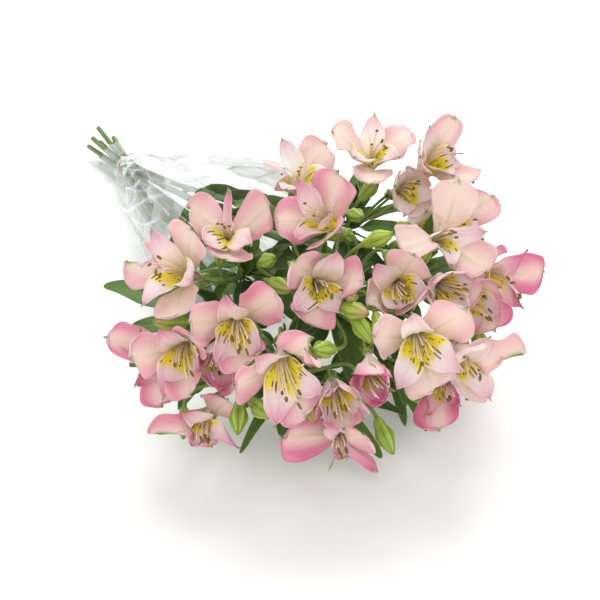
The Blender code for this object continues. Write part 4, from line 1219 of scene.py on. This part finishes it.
def add_anther(piece, path, place, draw):
    along = unit(path[-1] - path[-2])
    tilt = unit(along + 0.8 * np.cross(along, place.side) * draw.uniform(-1, 1))
    marks = np.linspace(-1, 1, ANTHER_POINTS)
    line = path[-1] + tilt * (marks * ANTHER_LENGTH / 2)[:, None] + along * 0.8 * MM
    radii = ANTHER_RADIUS * 0.66 * np.sqrt(np.clip(1 - marks ** 2, 0.03, 1)) ** 0.8
    piece.tube(line, radii, "anther", ANTHER_SIDES, seed=pattern(draw), rib_count=2, rib_depth=0.16)


def bloom_piece(number, growths, crowd):
    growth = growths[number]
    place = BloomPlace(growth, BLOOMS[number][2])
    draw = np.random.default_rng([SEED, 100 + number])
    piece = Piece(f"flower_{number + 1:02d}", ["tepal_outer", "tepal_inner", "filament", "anther", "stem"])
    add_tepals(piece, number, place, growth, crowd, draw)
    throat = place.to_bunch(np.array([[0, 0, height] for height in THROAT_AT]) * MM)
    piece.tube(throat, THROAT_RADIUS * np.array(THROAT_OUTLINE), "stem", THROAT_SIDES, THROAT_TONE)
    for turn_number in range(FILAMENTS):
        side = (turn_number - (FILAMENTS - 1) / 2) * FILAMENT_STEP + draw.uniform(-0.5, 0.5)
        lift = draw.uniform(*FILAMENT_LIFT)
        local = stamen_points(side, lift, draw.uniform(*FILAMENT_LENGTH), FILAMENT_POINTS)
        path = settle(place.to_bunch(local), number, growth, crowd, PETAL_CLEAR + ANTHER_RADIUS)
        pistil = turn_number == 0
        radii = np.linspace(*FILAMENT_RADII, FILAMENT_POINTS) * MM * (PISTIL_SHARE if pistil else 1)
        piece.tube(path, radii, "filament", FILAMENT_SIDES, seed=pattern(draw))
        if not pistil and draw.uniform() <= ANTHER_SHARE:
            add_anther(piece, path, place, draw)
    return piece.build()


# Green parts

def stalk_tubes(piece, growth, draw):
    """A bloom's or a bud's pedicel, with the ribbed ovary or the bud at its end."""
    if growth.kind == "bloom":
        foot = growth.tip - growth.facing * (BLOOM_DEPTH + SEAT_GAP) - growth.facing * OVARY_LENGTH
        marks = np.linspace(0, 1, OVARY_POINTS)
        body = foot + growth.facing * OVARY_LENGTH * marks[:, None]
        radii = np.interp(marks, OVARY_OUTLINE_AT, OVARY_OUTLINE) * MM
        material, depth, blush = "ovary", 0.13, 0.0
        tone = draw.uniform(0.1, 0.6)
    else:
        foot = growth.tip - growth.facing * BUD_LENGTH
        marks = np.linspace(0, 1, BUD_POINTS)
        aside = np.cross(growth.facing, [0, 0, 1])
        lean = np.sin(marks * math.pi / 2)[:, None] * aside * draw.uniform(-BUD_LEAN, BUD_LEAN) * MM
        along = BUD_LENGTH * marks + BUD_POINT * smooth_step(0.8, 1, marks)
        body = foot + growth.facing * along[:, None] + lean
        radii = np.interp(marks, BUD_OUTLINE_AT, BUD_OUTLINE) * MM * growth.swell
        material, depth, blush = "bud", 0.10, max(0.0, draw.uniform(-0.9, 0.7))
        tone = draw.uniform(0.1, 0.9)
    piece.tube(body, radii, material, RIBBED_SIDES, tone, blush, pattern(draw), rib_count=RIBS,
               rib_depth=depth * np.sin(math.pi * marks) ** 0.5)
    path = stalk_line(growth.umbel, foot, growth.facing, STALK_POINTS)
    radii = PEDICEL_RADIUS * np.interp(np.linspace(0, 1, STALK_POINTS), STALK_WIDENS_AT, STALK_WIDTH)
    piece.tube(path, radii, "stem", STALK_SIDES, draw.uniform(0.45, 0.9), 0.0, pattern(draw))
    return path


def fine_leaf(start, tip, half_width, bow, up, draw):
    s = rows_to_tip(LEAF_LONG)
    v = np.linspace(-1, 1, LEAF_WIDE)[None]
    points = leaf_points(start, tip, half_width, bow, up, s, v)
    phase = draw.uniform(0, 2 * math.pi)
    wave = np.sin(2 * math.pi * 2.3 * s[:, None] + phase + 1.2 * np.sign(v)) * v ** 2
    ripple = 1.1 * MM * (half_width / (9 * MM)) * smooth_step(0.2, 0.5, s)[:, None] * wave
    return s, v, points + grid_normals(points) * ripple[..., None]


def small_leaf(growth, number, path, crowd, draw):
    """The narrow leaf that stands at a pedicel."""
    at = int(draw.integers(5, 10))
    along = unit(path[at + 1] - path[at])
    aside = unit(np.cross(along, draw.normal(size=3)))
    length = draw.uniform(*SMALL_LEAF_LENGTH) * MM
    tip = path[at] + unit(0.85 * along + 0.55 * aside) * length
    half_width = draw.uniform(*SMALL_LEAF_HALF_WIDTH) * MM
    s, v, points = fine_leaf(path[at], tip, half_width, draw.uniform(*SMALL_LEAF_BOW) * MM, aside, draw)
    return s, v, settle(points, number, growth, crowd)


def low_leaf(stem, base_y, tip_y, half_width, draw):
    """A leaf inside the sleeve, which runs forward beside its own stem."""
    base = stem_line(stem, base_y)
    ahead = stem_line(stem, tip_y)
    _, x, z = sleeve_size(tip_y)
    outward = unit(ahead - np.array([x, z]))
    tip = ahead + outward * LOW_LEAF_OUT
    start = np.array([base[0], base_y, base[1]])
    end = np.array([tip[0], tip_y, tip[1]])
    up = np.array([outward[0], 0, outward[1]])
    s, v, points = fine_leaf(start, end, half_width, LOW_LEAF_BOW, up, draw)
    for _ in range(3):
        radius, x, z = sleeve_size(points[..., 1])
        from_axis = np.stack([points[..., 0] - x, points[..., 2] - z], axis=-1)
        distance = np.linalg.norm(from_axis, axis=-1) + 1e-9
        room = give_way(radius - FILM_ROOM - distance, 0.5 * MM, FILM_SOFT)
        scale = (radius - FILM_ROOM - room) / distance
        points[..., 0] = x + from_axis[..., 0] * scale
        points[..., 2] = give_way(z + from_axis[..., 1] * scale, LOW_LEAF_LOWEST, LOW_LEAF_SOFT)
    return s, v, points


def add_leaf(piece, s, v, points, tones, draw):
    piece.blade(points, s, v, "leaf", LEAF_SHEET, draw.uniform(*tones), 0.0, pattern(draw))


def stem_piece(index, growths, crowd):
    draw = np.random.default_rng([SEED, 500 + index])
    piece = Piece("leafy_" + STEMS[index][0], ["stem", "cut_end", "leaf", "ovary", "bud"])
    path = smooth_path(stem_points(index, STEM_POINTS), STEM_FINE_POINTS)
    radii = np.linspace(STEM_RADIUS_CUT, STEM_RADIUS_TOP, STEM_FINE_POINTS)
    piece.tube(path, radii, "stem", STEM_SIDES, 0.12, 0.0, pattern(draw), rib_count=5, rib_depth=0.03,
               end_material="cut_end")
    knob = path[-1] + unit(path[-1] - path[-2]) * np.array(KNOB_AT)[:, None] * MM
    piece.tube(knob, np.array(KNOB_OUTLINE) * MM, "stem", STEM_SIDES, 0.6)
    for number, growth in enumerate(growths):
        if growth.stem != index:
            continue
        if growth.kind in ("bloom", "bud"):
            stalk = stalk_tubes(piece, growth, draw)
            if draw.uniform() < SMALL_LEAF_SHARE:
                add_leaf(piece, *small_leaf(growth, number, stalk, crowd, draw), SMALL_LEAF_TONES, draw)
        if growth.kind == "leaf":
            s, v, points = fine_leaf(growth.umbel, growth.tip, growth.half_width, growth.bow, LEAF_UP, draw)
            add_leaf(piece, s, v, settle(points, number, growth, crowd), growth.tones, draw)
    for stem, base_y, tip_y, half_width in LOW_LEAVES + MORE_LOW_LEAVES:
        if stem == index:
            leaf = low_leaf(stem, base_y * MM, tip_y * MM, half_width * MM, draw)
            add_leaf(piece, *leaf, LOW_LEAF_SHADED_TONES, draw)
    return piece.build()


# The sleeve

def film_creases(around, along):
    """Long slanting folds: how far the film stands out at each point, and where a fold's sharp edge is."""
    height = np.zeros_like(around)
    sharp = np.zeros_like(around)
    draw = np.random.default_rng([SEED, 700])
    for count, slant, size in FILM_FOLDS:
        bend = 0.12 * np.sin(2 * math.pi * (around * draw.integers(1, 4) + along * draw.uniform(1, 3)))
        wave = np.sin(math.pi * (around * count + along * slant + bend + draw.uniform(0, 1)))
        ridge = 1 - np.abs(wave)
        turn = around * draw.integers(1, 5) - along * slant * 0.3 + draw.uniform(0, 1)
        fade = 0.5 + 0.5 * np.sin(2 * math.pi * turn)
        height += size * (ridge ** 2 - 0.35) * fade
        sharp = np.maximum(sharp, smooth_step(0.86, 0.985, ridge) * fade)
    return height, sharp


def film_piece():
    along, around = np.meshgrid(np.linspace(0, 1, FILM_ROWS),
                                np.linspace(0, 1, FILM_COLUMNS, endpoint=False), indexing="ij")
    turn = 2 * math.pi * around
    mouth = 9 * MM * np.sin(2 * math.pi * (around * 3 + 0.2)) + 5 * MM * np.sin(turn * 7) + 12 * MM
    length = SLEEVE_MOUTH_Y - SLEEVE_TAIL_Y + mouth * smooth_step(0.6, 1, along)
    y = SLEEVE_TAIL_Y + length * along
    radius, x, z = sleeve_size(y)
    pleat = FILM_PLEAT * np.cos(turn * FILM_PLEATS + 3 * along) * (1 - smooth_step(0.12, 0.5, along))
    free = smooth_step(0.12, 0.4, along)
    crumple = np.empty(y.shape)
    for spot, height in np.ndenumerate(y):
        angle = turn[spot]
        x_share = math.cos(angle) * CRUMPLES_ACROSS
        z_share = math.sin(angle) * CRUMPLES_ACROSS
        crumple[spot] = noise.noise(Vector((x_share, z_share, height * CRUMPLES_A_METRE)))
    folds, sharp = film_creases(around, along)
    radius = radius + pleat + free * (folds + FILM_CRUMPLE * crumple - FILM_INWARDS)
    high = np.maximum(z + radius * np.cos(turn), FILM_LOWEST)
    points = np.stack([x + radius * np.sin(turn), y, high], axis=-1)
    piece = Piece("film_sleeve", ["sleeve_film"])
    # The tone says where the film's crease lines are painted white as highlights
    tones = 0.5 + 0.9 * crumple + 0.25 * sharp
    traits = np.stack([np.ones_like(along), tones, sharp * (0.35 + 0.65 * free)], axis=-1)
    piece.add(points, np.stack([around, along, 0 * along], axis=-1), traits.reshape(-1, 3))
    piece.cover(grid_quads(FILM_ROWS, FILM_COLUMNS, wrap=True), "sleeve_film")
    return piece.build()


# The whole scene

def more_growths():
    """Buds and leaves that only the looks have: they fill the head between the blooms."""
    made = [Growth("bud", tip, facing=facing, swell=swell) for tip, facing, swell in MORE_BUDS]
    draw = np.random.default_rng([SEED, 900])
    for index, (_, umbel, _) in enumerate(STEMS):
        ahead = unit(umbel - TIE / MM)
        side = unit(np.cross(ahead, [0, 0, 1]))
        rise = np.cross(side, ahead)
        for turn_number in range(DEEP_LEAVES):
            turn = 2 * math.pi * (turn_number + draw.uniform(-0.25, 0.25)) / DEEP_LEAVES
            outward = math.cos(turn) * side + math.sin(turn) * rise
            reach = draw.uniform(*DEEP_REACH)
            tip = umbel + (outward * draw.uniform(0.45, 1.0) + ahead * draw.uniform(0.2, 0.9)) * reach
            tip[2] = max(tip[2], DEEP_LOWEST)
            tip[1] = min(tip[1], DEEP_REARMOST)
            leaf = Growth("leaf", tip, half_width=draw.uniform(*DEEP_HALF_WIDTH),
                          bow=draw.uniform(*DEEP_BOW), stem=index, tones=DEEP_SHADED_TONES)
            leaf.room = leaf.room * DEEP_ROOM
            made.append(leaf)
    return made


def link(name, data):
    holder = bpy.data.objects.new(name, data)
    bpy.context.scene.collection.objects.link(holder)
    return holder


def place_camera_and_light():
    camera = link("camera", bpy.data.cameras.new("camera"))
    camera.location = CAMERA_PLACE
    camera.rotation_euler = (math.radians(90 - CAMERA_DOWN_DEG), 0, math.radians(CAMERA_BEARING_DEG))
    camera.data.lens = CAMERA_LENS
    camera.data.sensor_width = 36
    camera.data.clip_start = 0.01
    camera.data.clip_end = 60
    bpy.context.scene.camera = camera

    world = bpy.data.worlds.new("studio")
    world.use_nodes = True
    background = world.node_tree.nodes["Background"]
    background.inputs["Color"].default_value = (1, 1, 1, 1)
    background.inputs["Strength"].default_value = WORLD_STRENGTH
    bpy.context.scene.world = world
    for name, spot, aim, size, power in LAMPS:
        lamp = bpy.data.lights.new(name, "AREA")
        lamp.shape = "DISK"
        lamp.size = size
        lamp.energy = power
        holder = link(name, lamp)
        holder.location = spot
        holder.rotation_euler = (Vector(aim) - Vector(spot)).to_track_quat("-Z", "Y").to_euler()

    bpy.context.scene.view_settings.view_transform = "Standard"
    bpy.context.scene.view_settings.exposure = 0.0


def make_floor():
    paint = Paint("floor")
    grain = paint.noise(paint.position(), 3, scale=60)
    paint.finish(paint.mix(grain, (246, 245, 243), (250, 249, 247)), 0.7, 0.15)
    mesh = bpy.data.meshes.new("floor")
    ends = ((-1, -1), (1, -1), (1, 1), (-1, 1))
    corners = [(x * FLOOR_HALF, y * FLOOR_HALF, FLOOR_LEVEL) for x, y in ends]
    mesh.from_pydata(corners, [], [(0, 1, 2, 3)])
    mesh.materials.append(paint.material)
    floor = link("floor", mesh)


def main():
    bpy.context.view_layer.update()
    place_camera_and_light()
    make_floor()
    make_paints()

    growths = [Growth("bloom", row[0], facing=row[1], room_share=row[4]) for row in BLOOMS]
    growths += [Growth("bud", tip, facing=facing) for tip, facing in BUDS]
    growths += [Growth("leaf", tip, half_width=half_width, bow=bow) for tip, half_width, bow in LEAVES]
    growths += [Growth("stem", row[1], stem=index) for index, row in enumerate(STEMS)]
    move_apart(growths)
    growths += more_growths()
    crowd = Crowd(growths)

    for number in range(len(BLOOMS)):
        flower = bloom_piece(number, growths, crowd)
        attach(flower, "root")
        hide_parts(f"bloom_{number + 1:02d}")
    for index, row in enumerate(STEMS):
        stem = stem_piece(index, growths, crowd)
        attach(stem, "root")
        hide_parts("stem_" + row[0])
    film = film_piece()
    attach(film, "root")
    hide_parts("sleeve")
    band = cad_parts["band"]
    band.data.materials.clear()
    band.data.materials.append(band_paint())


main()
